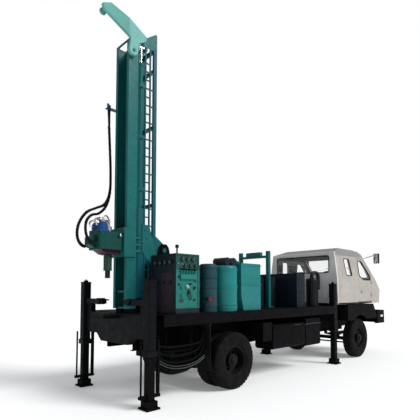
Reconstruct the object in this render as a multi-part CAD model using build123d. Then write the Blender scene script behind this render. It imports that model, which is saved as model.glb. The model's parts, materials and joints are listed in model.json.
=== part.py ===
from build123d import *
import math
import os

os.makedirs("parts", exist_ok=True)

# Truck-mounted water well drilling rig. Millimetres, +X forward, +Y left, +Z up.
# The origin is on the ground under the middle of the overall length.
# Stations called REAR + n are measured forward from the rear outriggers.

# Overall layout
REAR = -4065
HALF_WIDTH = 1175
SIDES = {"left": 1, "right": -1}
SEAT = 0.3
RUNNING = 0.05
SWING = 14

# Wheels and axles
TYRE_RADIUS = 530
TYRE_WIDTH = 276
TYRE_SHOULDER = 42
TYRE_SHOULDER_FLAT = 24
SIDEWALL_RISE = 70
CROWN_DROP = 6
BEAD_SHARE = 0.72
RIM_RADIUS = 268
RIM_WALL = 12
DISC_WALL = 16
HAND_HOLES = 8
HAND_HOLE_RADIUS = 30
HAND_HOLE_RING = 178
REAR_AXLE_X = REAR + 1890
FRONT_AXLE_X = REAR + 7060
REAR_OUTER_FACE = HALF_WIDTH + 23
FRONT_OUTER_FACE = 1100
DUAL_GAP = 44
FRONT_DISH = 30
REAR_DISH = 84
KINGPIN_Y = 790
KINGPIN_RADIUS = 22
STEER_ARM = 150
SPINDLE_RADIUS = 38
AXLE_TUBE_RADIUS = 75
HUB_RADIUS = 120

# Truck frame
RAIL_HEIGHT = 250
RAIL_FLANGE = 80
RAIL_WALL = 9
RAIL_TOP = 1060
RAIL_OUTER_Y = HALF_WIDTH - 745
SPRING_OUT = RAIL_OUTER_Y + 10
SPRING_WIDTH = 75
ENGINE_HALF = RAIL_OUTER_Y - 100
CROSS_DEPTH = 120
RAIL_FRONT_X = REAR + 8200

# Rear cross-beam and the rod guide behind it
REAR_BEAM_BACK = REAR - 10
REAR_BEAM_FRONT = REAR + 110
REAR_BEAM_END_LOW = 1055
REAR_BEAM_MIDDLE_LOW = 925
GUIDE_RADIUS = 100
GUIDE_REACH = 160
GUIDE_TOP = 1420
GUIDE_HEIGHT = 60
RAIL_REAR_X = REAR_BEAM_FRONT + SEAT

# Rig deck on the truck frame
DECK_TOP = 1450
DECK_PLATE = 8
DECK_EDGE = 190
DECK_REAR_X = REAR_BEAM_FRONT + SEAT
DECK_FRONT_X = REAR + 5560
SUBFRAME_WIDTH = 120
CROSS_PITCH = 700

# Outriggers
FRONT_LEG_X = REAR + 5660
LEG_INSET = 90
LEG_Y = HALF_WIDTH - LEG_INSET
SLEEVE_SIZE = 150
SLEEVE_WALL = 8
SLEEVE_BOTTOM = 810
SLEEVE_TOP = 2000
CAP_HEIGHT = 12
COLLAR_SIZE = 176
COLLAR_HEIGHT = 90
LEG_SIZE = 120
LEG_TOP = 1500
FOOT_SIZE = 190
FOOT_HEIGHT = 130
PAD_SIZE = 250
PAD_HEIGHT = 30
GUIDE_ROD_RADIUS = 32
GUIDE_ROD_X = 160
GUIDE_ROD_TOP = 1060
TIE_BAR_LOW = 170
TIE_BAR_HEIGHT = 45

# Mast, upright at rest
MAST_REAR_X = REAR + 100
MAST_HALF = 220
RAIL_DEPTH = 200
RAIL_WIDTH = 70
MAST_WALL = 8
CHORD_SIZE = 70
CHORD_WIDTH = 50
MAST_FRONT_X = REAR + 725
MAST_BOTTOM = 1520
MAST_TOP = 6430
CROWN_REAR_RISE = 20
CROWN_RISE = 340
CROWN_WALL = 14
PIVOT_X = REAR + 900
PIVOT_Z = 2600
PIVOT_RADIUS = 45
GUSSET_WALL = 22
DOUBLER = 6
RUNG_PITCH = 163
LADDER_BACK_X = REAR + 462
LADDER_FRONT_X = REAR + 590
LADDER_BAR = 24
RUNG = 22
TIE_PITCH = 326
BRACE_PITCH = 978

# Feed cylinder in the mast
FEED_X = REAR + 400
FEED_Y = -156
FEED_RADIUS = 40
FEED_ROD_RADIUS = 22
FEED_BOTTOM = 3180
FEED_TOP = 6110
FEED_ROD_LOW = 4300
FEED_ROD_TOP = MAST_TOP - 30
FEED_GLAND = 60

# Rotary head on its carriage
SPINDLE_X = REAR - 145
CARRIAGE_BOTTOM = 2440
CARRIAGE_TOP = 2960
CARRIAGE_PLATE = 62
CARRIAGE_CHEEK = 24
HEAD_REAR_X = REAR - 420
HEAD_HALF = 205
GEARBOX_BOTTOM = 2545
GEARBOX_TOP = GEARBOX_BOTTOM + 315
SPINDLE_BOTTOM = 2060
SPINDLE_BORE = 28
PIN_RADIUS = 44
PIN_LENGTH = 130
SLEEVE_RADIUS = 72
BEARING_RADIUS = PIN_RADIUS + 20
MOTOR_X = REAR - 318
MOTOR_Y = 105
MOTOR_RADIUS = 80
MOTOR_HEIGHT = 165

# Feed hoses, each a list of points from the bracket on the mast to the back of the gearbox
HOSE_RADIUS = 15
HOSE_TOP = 5235
HOSE_OUTER = [(REAR - 22, 285, HOSE_TOP), (REAR - 10, 286, 4880), (REAR + 22, 291, 4470),
              (REAR + 50, 285, 4050), (REAR + 44, 287, 3690), (REAR - 50, 274, 3440),
              (REAR - 250, 242, 3330), (REAR - 470, 200, 3210), (REAR - 620, 166, 2990),
              (REAR - 652, 144, 2770), (REAR - 585, 124, 2620), (REAR - 440, 110, 2585)]
HOSE_INNER = [(REAR + 36, 330, HOSE_TOP), (REAR + 42, 327, 4860), (REAR + 64, 331, 4440),
              (REAR + 76, 327, 4010), (REAR + 62, 330, 3650), (REAR - 30, 312, 3390),
              (REAR - 190, 262, 3240), (REAR - 390, 150, 3170), (REAR - 550, 20, 3030),
              (REAR - 600, -60, 2840), (REAR - 560, -98, 2690), (REAR - 440, -110, 2655)]
SHELF_OUT = 352
SHELF_WALL = 14

# Jib, one box arm on the mast's right side that leans to the drill axis at its tip
JIB_PIVOT_X = REAR + 155
JIB_PIVOT_Z = 6210
JIB_EAR = 92
JIB_PIN = 28
JIB_THICK = 64
JIB_TIP_BACK = 500
JIB_TIP_UP = 655
JIB_TIP_Y = 110
SHEAVE_RADIUS = 62
SHEAVE_WIDTH = 28

# Mast lift cylinder under the folded mast
LIFT_BASE_X = REAR + 2600
LIFT_Z = 1750
LIFT_EYE_X = REAR + 800
LIFT_EYE = 58
LIFT_PIN = 30
LIFT_RADIUS = 70
LIFT_ROD_RADIUS = 42
LIFT_WALL = 16
LIFT_BARREL_FRONT = REAR + 1010
LIFT_GLAND = 60

# Console with its panels on the right side
CONSOLE_REAR_X = REAR + 550
CONSOLE_FRONT_X = REAR + 1080
CONSOLE_SIDE_Y = -1050
CONSOLE_BACK_Y = -330
CONSOLE_TOP = 2478
PANEL_BORDER = 22
PANEL_DEPTH = 14
PANEL_SPLIT = CONSOLE_TOP - 278
PANEL_FOOT = 1560

# Tanks, filters and hoods on the deck
ROUND_TANK_X = REAR + 1940
ROUND_TANK_Y = -850
ROUND_TANK_RADIUS = 240
ROUND_TANK_HEIGHT = 880
FILTER_RADIUS = 75
CYLINDER_X = REAR + 1460
CYLINDER_Y = -880
CYLINDER_RADIUS = 170
CYLINDER_HEIGHT = 890
BOX_TANK_REAR = REAR + 2230
BOX_TANK_FRONT = REAR + 2830
BOX_TANK_TOP = 2390
BOX_TANK_OUT = 1020
BOX_TANK_IN = 420
REST_X = REAR + 3850
REST_Y = 430
REST_SIZE = 80
REST_BAR_Z = 2620
REST_TOP = 2780
HOOD_REAR_X = REAR + 3260
HOOD_FRONT_X = REAR + 4250
HOOD_HALF = 340
HOOD_TOP = 2170
COOLER_REAR_X = REAR + 4330
COOLER_FRONT_X = REAR + 4670
COOLER_OUT = 900
COOLER_IN = 300
COOLER_TOP = 2250
CLEANER_X = REAR + 5200
CLEANER_Y = -760
CLEANER_RADIUS = 155
CLEANER_HEIGHT = 700

# Front bumper
BUMPER_LOW = 880
BUMPER_TOP = 1260

# Cab
CAB_REAR_X = REAR + 5900
CAB_HALF = 1080
CAB_WALL = 50
CAB_BOTTOM = 1480
CAB_SILL = 1530
FLOOR_TOP = 1600
ROOF_BREAK = 2790
BELT_Z = 2180
SCREEN_TOP_X = REAR + 7480
SCREEN_TOP_Z = 2860
SCREEN_FOOT_X = REAR + 8150
SCREEN_FOOT_Z = BELT_Z
GLASS_INSET = 20
GLASS_THICK = 6
DOOR_GAP = 6
DOOR_REAR_X = REAR + 7090
DOOR_FRONT_X = REAR + 7890
DOOR_TOP = 2740
WINDOW_TOP = 2700
HINGE_X = DOOR_FRONT_X + 3
HINGE_OUT = 12
HINGE_RADIUS = 11
HINGE_Z = (1680, 2050)
TILT_X = REAR + 8380
TILT_Z = 1400
TILT_BRACKET_OUT = RAIL_OUTER_Y - 26
TILT_BRACKET_WALL = 24
TILT_CLEARANCE = 8
TILT_PLATE_WALL = 32
TILT_PIN = 20
MIRROR_ROOT = (REAR + 7560, CAB_HALF - 95, 2760)
MIRROR_END = (REAR + 8020, CAB_HALF + 115, 2900)
MIRROR_ARM = 13
MIRROR_WIDTH = 150
MIRROR_DROP = 260
ARCH_RADIUS = 640
FENDER_TOP = CAB_BOTTOM - 18
FENDER_LOW = 1040
FENDER_REAR = REAR + 6330
FENDER_FRONT = REAR + 7870
FENDER_OUT = HALF_WIDTH - 35
FENDER_DEPTH = 440


def block(x_low, x_high, y_low, y_high, z_low, z_high):
    """A square-edged block between two corners."""
    corner = Box(x_high - x_low, y_high - y_low, z_high - z_low, align=(Align.MIN, Align.MIN, Align.MIN))
    return Pos(x_low, y_low, z_low) * corner


def mirrored(x_low, x_high, y_in, y_out, z_low, z_high, side):
    """A block on one side of the truck, its Y places given as distances from the middle."""
    y_low, y_high = sorted((side * y_in, side * y_out))
    return block(x_low, x_high, y_low, y_high, z_low, z_high)


def strut(start, toward, length, radius):
    """A round bar of some length from a start point in the direction of another point."""
    start = Vector(*start)
    bar = Cylinder(radius, length, align=(Align.CENTER, Align.CENTER, Align.MIN))
    return Plane(origin=start, z_dir=Vector(*toward) - start) * bar


def hose_fitting(end, inner_point, length):
    """A plain steel fitting that continues a hose beyond its end."""
    beyond = Vector(*end) * 2 - Vector(*inner_point)
    return strut(end, tuple(beyond), length, HOSE_RADIUS + 6)


def side_outline(points, y_low, y_high):
    """A plate whose outline is given as (x, z) points, between two Y places."""
    face = make_face(Polyline(*[(x, y_low, z) for x, z in points], close=True))
    return extrude(face, amount=y_high - y_low, dir=(0, 1, 0))


def rear_outline(points, x_low, x_high):
    """A bar whose outline is given as (y, z) points, between two X places."""
    face = make_face(Polyline(*[(x_low, y, z) for y, z in points], close=True))
    return extrude(face, amount=x_high - x_low, dir=(1, 0, 0))


def side_plate(points, y_in, y_out, side):
    """A plate with an (x, z) outline on one side of the truck."""
    return side_outline(points, *sorted((side * y_in, side * y_out)))


def rod(axis, start, length, radius, bore=0):
    """A round bar, or a tube when it has a bore, from a start point along an axis."""
    turn = {"x": Rot(0, 90, 0), "y": Rot(-90, 0, 0), "z": Rot(0, 0, 0)}[axis]
    bar = Cylinder(radius, length, align=(Align.CENTER, Align.CENTER, Align.MIN))
    if bore:
        bar -= Cylinder(bore, length, align=(Align.CENTER, Align.CENTER, Align.MIN))
    return Pos(*start) * turn * bar


def cross_pin(x, z, y_in, y_out, side, radius, bore=0):
    """A round pin or boss along Y on one side of the truck."""
    low, high = sorted((side * y_in, side * y_out))
    return rod("y", (x, low, z), high - low, radius, bore)


def square_tube(x, y, z_low, z_high, size, wall):
    """An upright square tube with rounded corners."""
    outer = RectangleRounded(size, size, wall * 1.8)
    inner = RectangleRounded(size - 2 * wall, size - 2 * wall, wall * 0.8)
    return Pos(x, y, z_low) * extrude(outer - inner, amount=z_high - z_low)


def channel(x_low, x_high, web_y, flange, wall, z_low, z_high):
    """A pressed C rail along X. Its web is at web_y and its flanges point to the middle."""
    inward = -1 if web_y > 0 else 1
    y_tip = web_y + inward * flange
    y_low, y_high = sorted((web_y, y_tip))
    body = block(x_low, x_high, y_low, y_high, z_low, z_high)
    hollow_low, hollow_high = sorted((web_y + inward * wall, y_tip + inward))
    return body - block(x_low, x_high, hollow_low, hollow_high, z_low + wall, z_high - wall)


def upright(x, y, size, z_low, z_high):
    """A square post or plate centred on a vertical line."""
    return Pos(x, y, z_low) * Box(size, size, z_high - z_low, align=(Align.CENTER, Align.CENTER, Align.MIN))


def joined(shapes):
    """All the shapes as one solid."""
    result = shapes[0]
    for shape in shapes[1:]:
        result += shape
    return result


def save(name, *shapes):
    """Writes one node, with its solids side by side."""
    solids = [solid for shape in shapes for solid in shape.solids()]
    export_step(Compound(children=solids) if len(solids) > 1 else solids[0], f"parts/{name}.step")


def tyre(x, y_mid):
    """A truck tyre revolved about its axle: rounded sidewalls and a flat crown."""
    half = TYRE_WIDTH / 2
    bead = half * BEAD_SHARE
    wide_low = RIM_RADIUS + SIDEWALL_RISE
    wide_high = TYRE_RADIUS - TYRE_SHOULDER * 2
    corner = half - TYRE_SHOULDER
    crown = corner - TYRE_SHOULDER_FLAT
    profile = Polyline((RIM_RADIUS, -bead), (wide_low, -half), (wide_high, -half),
                       (TYRE_RADIUS - CROWN_DROP, -corner),
                       (TYRE_RADIUS, -crown), (TYRE_RADIUS, crown), (TYRE_RADIUS - CROWN_DROP, corner),
                       (wide_high, half), (wide_low, half), (RIM_RADIUS, bead), close=True)
    return Pos(x, y_mid, TYRE_RADIUS) * revolve(make_face(profile), Axis.Y)


def rim(x, y_mid, dish):
    """A pressed steel wheel: a rim band and a dished disc with hand holes, in one piece."""
    half = TYRE_WIDTH / 2 * BEAD_SHARE
    inside = RIM_RADIUS - RIM_WALL
    wheel = rod("y", (0, -half, 0), 2 * half, RIM_RADIUS - SEAT, inside)
    wheel += rod("y", (0, dish - DISC_WALL / 2, 0), DISC_WALL, inside + 1, SPINDLE_RADIUS + RIM_WALL)
    for i in range(HAND_HOLES):
        hole = rod("y", (HAND_HOLE_RING, dish - DISC_WALL, 0), 2 * DISC_WALL, HAND_HOLE_RADIUS)
        wheel -= Rot(0, 360 / HAND_HOLES * i, 0) * hole
    return Pos(x, y_mid, TYRE_RADIUS) * wheel


def wheels():
    """Single front wheels on their knuckles and dual rear wheels, a tyre node and a rim node each."""
    hub_reach = 95
    hub_out = 20
    for name, side in SIDES.items():
        front_mid = side * (FRONT_OUTER_FACE - TYRE_WIDTH / 2)
        hub = rod("y", (0, -hub_reach, 0), 2 * hub_reach, HUB_RADIUS, SPINDLE_RADIUS + RUNNING)
        hub = Pos(FRONT_AXLE_X, front_mid + side * hub_out, TYRE_RADIUS) * hub
        save(f"tyre_front_{name}", tyre(FRONT_AXLE_X, front_mid))
        save(f"rim_front_{name}", rim(FRONT_AXLE_X, front_mid, side * FRONT_DISH) + hub)
        outer_mid = side * (REAR_OUTER_FACE - TYRE_WIDTH / 2)
        inner_mid = outer_mid - side * (TYRE_WIDTH + DUAL_GAP)
        middle = (outer_mid + inner_mid) / 2
        save(f"tyres_rear_{name}", tyre(REAR_AXLE_X, outer_mid), tyre(REAR_AXLE_X, inner_mid))
        hub = rod("y", (0, -2 * hub_reach, 0), 4 * hub_reach, HUB_RADIUS, SPINDLE_RADIUS + RUNNING)
        hub = Pos(REAR_AXLE_X, middle + side * hub_out, TYRE_RADIUS) * hub
        pair = rim(REAR_AXLE_X, outer_mid, -side * REAR_DISH) + rim(REAR_AXLE_X, inner_mid, side * REAR_DISH)
        save(f"rims_rear_{name}", pair + hub)


def frame_and_axles():
    """The ladder frame, the two axles with their springs, and the driveline under the frame."""
    rail_low = RAIL_TOP - RAIL_HEIGHT
    rails = []
    for side in SIDES.values():
        rails.append(channel(RAIL_REAR_X, RAIL_FRONT_X, side * RAIL_OUTER_Y, RAIL_FLANGE, RAIL_WALL,
                             rail_low, RAIL_TOP))
    inner_y = RAIL_OUTER_Y - RAIL_WALL
    for station in (700, 2900, 4300, 5100, 8120):
        x = REAR + station
        rails.append(block(x - CROSS_DEPTH / 2, x + CROSS_DEPTH / 2, -inner_y, inner_y,
                           rail_low + 60, RAIL_TOP - RAIL_WALL - 40))
    tilt_boss = 34
    bracket_in = TILT_BRACKET_OUT - TILT_BRACKET_WALL
    for side in SIDES.values():
        outline = [(RAIL_FRONT_X - 180, RAIL_TOP - 2), (RAIL_FRONT_X - 4, RAIL_TOP - 2),
                   (TILT_X + tilt_boss, TILT_Z - 30), (TILT_X + tilt_boss, TILT_Z + 30),
                   (TILT_X - tilt_boss, TILT_Z + 30)]
        bracket = side_plate(outline, bracket_in, TILT_BRACKET_OUT, side)
        rails.append(bracket - cross_pin(TILT_X, TILT_Z, bracket_in - 10, TILT_BRACKET_OUT + 10, side,
                                         TILT_PIN + RUNNING))
        rails.append(mirrored(CAB_REAR_X + 60, CAB_REAR_X + 160, RAIL_OUTER_Y - 70, RAIL_OUTER_Y,
                              RAIL_TOP - 2, CAB_BOTTOM - SEAT, side))
    save("frame_rails", joined(rails))

    tube_half = REAR_OUTER_FACE - 2 * TYRE_WIDTH - DUAL_GAP - 40
    housing = rod("y", (REAR_AXLE_X, -tube_half, TYRE_RADIUS), 2 * tube_half, AXLE_TUBE_RADIUS)
    bowl = Pos(REAR_AXLE_X, 0, TYRE_RADIUS) * Sphere(190)
    nose_end = REAR_AXLE_X + 320
    shaft_z = TYRE_RADIUS + 10
    nose = rod("x", (nose_end - 200, 0, shaft_z), 200, 85)
    stub_end = REAR_OUTER_FACE - 120
    stubs = rod("y", (REAR_AXLE_X, -stub_end, TYRE_RADIUS), 2 * stub_end, SPINDLE_RADIUS)
    save("axle_rear", housing + bowl + nose + stubs)

    beam_y = KINGPIN_Y - 62
    beam = block(FRONT_AXLE_X - 45, FRONT_AXLE_X + 45, -beam_y, beam_y, TYRE_RADIUS - 90, TYRE_RADIUS)
    for side in SIDES.values():
        beam += mirrored(FRONT_AXLE_X - 40, FRONT_AXLE_X + 40, beam_y - 40, KINGPIN_Y,
                         TYRE_RADIUS - 75, TYRE_RADIUS + 70, side)
        beam += rod("z", (FRONT_AXLE_X, side * KINGPIN_Y, TYRE_RADIUS - 75), 145, 48)
    for side in SIDES.values():
        beam -= rod("z", (FRONT_AXLE_X, side * KINGPIN_Y, TYRE_RADIUS - 130), 300, KINGPIN_RADIUS + RUNNING)
    save("axle_front", beam)

    springs = []
    leaves = 5
    spring_in = SPRING_OUT - SPRING_WIDTH
    # axle x, spring half length, spring low z, high z, seat low z
    for axle_x, half, low, high, seat_low in (
        (REAR_AXLE_X, 700, TYRE_RADIUS + 110, TYRE_RADIUS + 230, TYRE_RADIUS + AXLE_TUBE_RADIUS - 8),
        (FRONT_AXLE_X, 640, TYRE_RADIUS + 30, TYRE_RADIUS + 130, TYRE_RADIUS),
    ):
        step = (high - low) / leaves
        for side in SIDES.values():
            for i in range(leaves):
                reach = half * (0.35 + 0.65 * i / (leaves - 1))
                springs.append(mirrored(axle_x - reach, axle_x + reach, spring_in, SPRING_OUT,
                                        low + i * step, low + (i + 1) * step, side))
            for end in (-1, 1):
                x = axle_x + end * (half - 30)
                springs.append(mirrored(x - 30, x + 30, spring_in + 5, SPRING_OUT - 5, high - step,
                                        rail_low, side))
            springs.append(mirrored(axle_x - 90, axle_x + 90, spring_in - 5, SPRING_OUT + 5, seat_low,
                                    low, side))
    axle_cut = rod("y", (REAR_AXLE_X, -600, TYRE_RADIUS), 1200, AXLE_TUBE_RADIUS)
    save("leaf_springs", joined(springs) - axle_cut)

    gearbox_rear = REAR + 5500
    bell = REAR + 6251
    engine = block(bell - 1, REAR + 7500, -ENGINE_HALF, ENGINE_HALF, 700, 1400)
    gearbox = side_outline([(gearbox_rear, 700), (bell, 700), (bell, 1180), (REAR + 6000, 1180),
                            (REAR + 5850, 1000), (gearbox_rear, 900)], -190, 190)
    mount_out = ENGINE_HALF + 70
    for x in (REAR + 6400, REAR + 7200):
        engine += block(x, x + 100, -mount_out, mount_out, RAIL_TOP + SEAT, RAIL_TOP + 40)
    shaft_radius = 45
    drop = 800 - shaft_z
    run = gearbox_rear - nose_end
    angle = math.degrees(math.atan2(drop, run))
    shaft_rear = nose_end + SEAT + shaft_radius * math.sin(math.radians(angle))
    shaft = Cylinder(shaft_radius, math.hypot(run, drop), align=(Align.CENTER, Align.CENTER, Align.MIN))
    save("driveline", engine + gearbox + Pos(shaft_rear, 0, shaft_z) * Rot(0, 90 - angle, 0) * shaft)


def steering():
    """A knuckle each side with its spindle and arm, and the tie rod under the arms."""
    arm_low = TYRE_RADIUS - 115
    ear_out = KINGPIN_Y + 85
    for name, side in SIDES.items():
        pin = rod("z", (FRONT_AXLE_X, side * KINGPIN_Y, arm_low + 5), 220, KINGPIN_RADIUS)
        fork = mirrored(FRONT_AXLE_X - 40, FRONT_AXLE_X + 40, KINGPIN_Y - 30, ear_out, TYRE_RADIUS + 75,
                        TYRE_RADIUS + 110, side)
        fork += mirrored(FRONT_AXLE_X - 40, FRONT_AXLE_X + 40, KINGPIN_Y - 30, ear_out, arm_low, arm_low + 35,
                         side)
        fork += mirrored(FRONT_AXLE_X - 40, FRONT_AXLE_X + 40, ear_out - 30, ear_out, arm_low,
                         TYRE_RADIUS + 110, side)
        axle = cross_pin(FRONT_AXLE_X, TYRE_RADIUS, ear_out - 1, FRONT_OUTER_FACE - 60, side, SPINDLE_RADIUS)
        arm = mirrored(FRONT_AXLE_X - STEER_ARM - 30, FRONT_AXLE_X - 38, KINGPIN_Y - 30, KINGPIN_Y + 30,
                       arm_low, arm_low + 25, side)
        save(f"knuckle_{name}", joined([fork, pin, axle, arm]))
    bar = rod("y", (FRONT_AXLE_X - STEER_ARM, -KINGPIN_Y, arm_low - 25), 2 * KINGPIN_Y, 20)
    for side in SIDES.values():
        bar += rod("z", (FRONT_AXLE_X - STEER_ARM, side * KINGPIN_Y, arm_low - 50), 50 - SEAT, 30)
    save("tie_rod", bar)


def deck():
    """The rig deck: two box beams on the truck frame, cross-members, edge channels and the plate."""
    plate_low = DECK_TOP - DECK_PLATE
    edge_low = DECK_TOP - DECK_EDGE
    cross_low = DECK_TOP - 140
    pieces = [block(DECK_REAR_X, DECK_FRONT_X, -HALF_WIDTH, HALF_WIDTH, plate_low, DECK_TOP)]
    for side in SIDES.values():
        pieces.append(channel(DECK_REAR_X, DECK_FRONT_X, side * HALF_WIDTH, 60, MAST_WALL, edge_low,
                              plate_low))
    count = int((DECK_FRONT_X - DECK_REAR_X) / CROSS_PITCH)
    for i in range(count):
        x = REAR + 900 + CROSS_PITCH * i
        pieces.append(block(x - 30, x + 30, -HALF_WIDTH + 4, HALF_WIDTH - 4, cross_low, plate_low))
    for side in SIDES.values():
        pieces.append(mirrored(DECK_REAR_X, DECK_FRONT_X - 60, RAIL_OUTER_Y - SUBFRAME_WIDTH, RAIL_OUTER_Y,
                               RAIL_TOP, cross_low + 1, side))
    plate = joined(pieces)
    notch_front = REAR + GUIDE_ROD_X + GUIDE_ROD_RADIUS + 20
    for side in SIDES.values():
        plate -= mirrored(DECK_REAR_X - 1, notch_front, LEG_Y - GUIDE_ROD_RADIUS - 20, HALF_WIDTH + 1,
                          edge_low - 1, DECK_TOP + 1, side)
    save("deck", plate)


def outriggers():
    """Four outriggers: cross-beams and sleeves on the chassis, and a sliding leg with a foot in each."""
    inner = LEG_Y - SLEEVE_SIZE / 2
    passage = LEG_SIZE + 2 * SEAT
    sleeves = []
    for x in (REAR, FRONT_LEG_X):
        for side in SIDES.values():
            y = side * LEG_Y
            sleeve = square_tube(x, y, SLEEVE_BOTTOM, SLEEVE_TOP, SLEEVE_SIZE, SLEEVE_WALL)
            collar = upright(x, y, COLLAR_SIZE, SLEEVE_BOTTOM, SLEEVE_BOTTOM + COLLAR_HEIGHT)
            collar -= upright(x, y, passage, SLEEVE_BOTTOM - 1, SLEEVE_BOTTOM + COLLAR_HEIGHT + 1)
            cap = upright(x, y, SLEEVE_SIZE + 8, SLEEVE_TOP, SLEEVE_TOP + CAP_HEIGHT)
            sleeves.append(joined([sleeve, collar, cap]))

    beam_top = DECK_TOP - 10
    arm_low = DECK_TOP + 150
    rear_beam = rear_outline([(-inner, REAR_BEAM_END_LOW), (-600, REAR_BEAM_END_LOW),
                              (-450, REAR_BEAM_MIDDLE_LOW), (450, REAR_BEAM_MIDDLE_LOW),
                              (600, REAR_BEAM_END_LOW), (inner, REAR_BEAM_END_LOW),
                              (inner, beam_top), (-inner, beam_top)], REAR_BEAM_BACK, REAR_BEAM_FRONT)
    for side in SIDES.values():
        # a block, an arm with its pin boss, and a bar, on the beam beside each rear sleeve
        rear_beam += mirrored(REAR - 10, REAR + 80, inner - 180, inner, beam_top - 1, arm_low + 1, side)
        rear_beam += mirrored(REAR - 40, REAR + 60, inner - 630, inner, arm_low, arm_low + 90, side)
        rear_beam += rod("x", (REAR - 66, side * (inner - 500), arm_low + 45), 150, 60)
        rear_beam += mirrored(REAR - 10, REAR + 40, MAST_HALF + 30, inner - 629, arm_low + 60, arm_low + 84,
                              side)
    front_beam = block(FRONT_LEG_X - 80, FRONT_LEG_X + 80, -inner, inner, RAIL_TOP, RAIL_TOP + 220)
    save("outrigger_frames", *sleeves, rear_beam, front_beam)

    for x, end in ((REAR, "rear"), (FRONT_LEG_X, "front")):
        for name, side in SIDES.items():
            y = side * LEG_Y
            leg = [upright(x, y, LEG_SIZE, FOOT_HEIGHT, LEG_TOP),
                   upright(x, y, FOOT_SIZE, PAD_HEIGHT, FOOT_HEIGHT),
                   upright(x, y, PAD_SIZE, 0, PAD_HEIGHT)]
            if end == "rear":
                tie_top = TIE_BAR_LOW + TIE_BAR_HEIGHT
                rod_side = GUIDE_ROD_X + GUIDE_ROD_RADIUS
                leg.append(block(x - rod_side, x + rod_side, y - GUIDE_ROD_RADIUS, y + GUIDE_ROD_RADIUS,
                                 TIE_BAR_LOW, tie_top))
                leg.append(rod("z", (x + GUIDE_ROD_X, y, tie_top - 1), GUIDE_ROD_TOP - tie_top,
                               GUIDE_ROD_RADIUS))
                leg.append(rod("z", (x - GUIDE_ROD_X, y, tie_top - 1), GUIDE_ROD_TOP - tie_top,
                               GUIDE_ROD_RADIUS / 2))
            save(f"leg_{end}_{name}", joined(leg))


def mast_side(side):
    """One side's lacing in the mast: front chord, ladder, its ties and the straps to the rear rail."""
    rear_end = MAST_REAR_X + RAIL_DEPTH
    ladder_low = MAST_BOTTOM + 100
    chord_back = MAST_FRONT_X - CHORD_SIZE
    pieces = [mirrored(chord_back, MAST_FRONT_X, MAST_HALF - CHORD_WIDTH, MAST_HALF, MAST_BOTTOM,
                       MAST_TOP - SEAT, side)]
    for x in (LADDER_BACK_X, LADDER_FRONT_X - LADDER_BAR):
        pieces.append(mirrored(x, x + LADDER_BAR, MAST_HALF - 30, MAST_HALF, ladder_low, MAST_TOP - SEAT,
                               side))
    for i in range(int((MAST_TOP - MAST_BOTTOM - 300) / RUNG_PITCH)):
        z = MAST_BOTTOM + 200 + i * RUNG_PITCH
        pieces.append(mirrored(LADDER_BACK_X, LADDER_FRONT_X, MAST_HALF - 26, MAST_HALF - 4, z, z + RUNG,
                               side))
    for i in range(int((MAST_TOP - MAST_BOTTOM - 200) / TIE_PITCH)):
        z = MAST_BOTTOM + 200 + i * TIE_PITCH
        pieces.append(mirrored(LADDER_FRONT_X - 2, chord_back + 2, MAST_HALF - 26, MAST_HALF - 4, z, z + RUNG,
                               side))
    for i in range(int((MAST_TOP - MAST_BOTTOM - 700) / BRACE_PITCH) + 1):
        z = MAST_BOTTOM + 200 + i * BRACE_PITCH
        pieces.append(mirrored(rear_end + SEAT, LADDER_BACK_X + 2, MAST_HALF - 8, MAST_HALF, z, z + 60, side))
    return joined(pieces)


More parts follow.
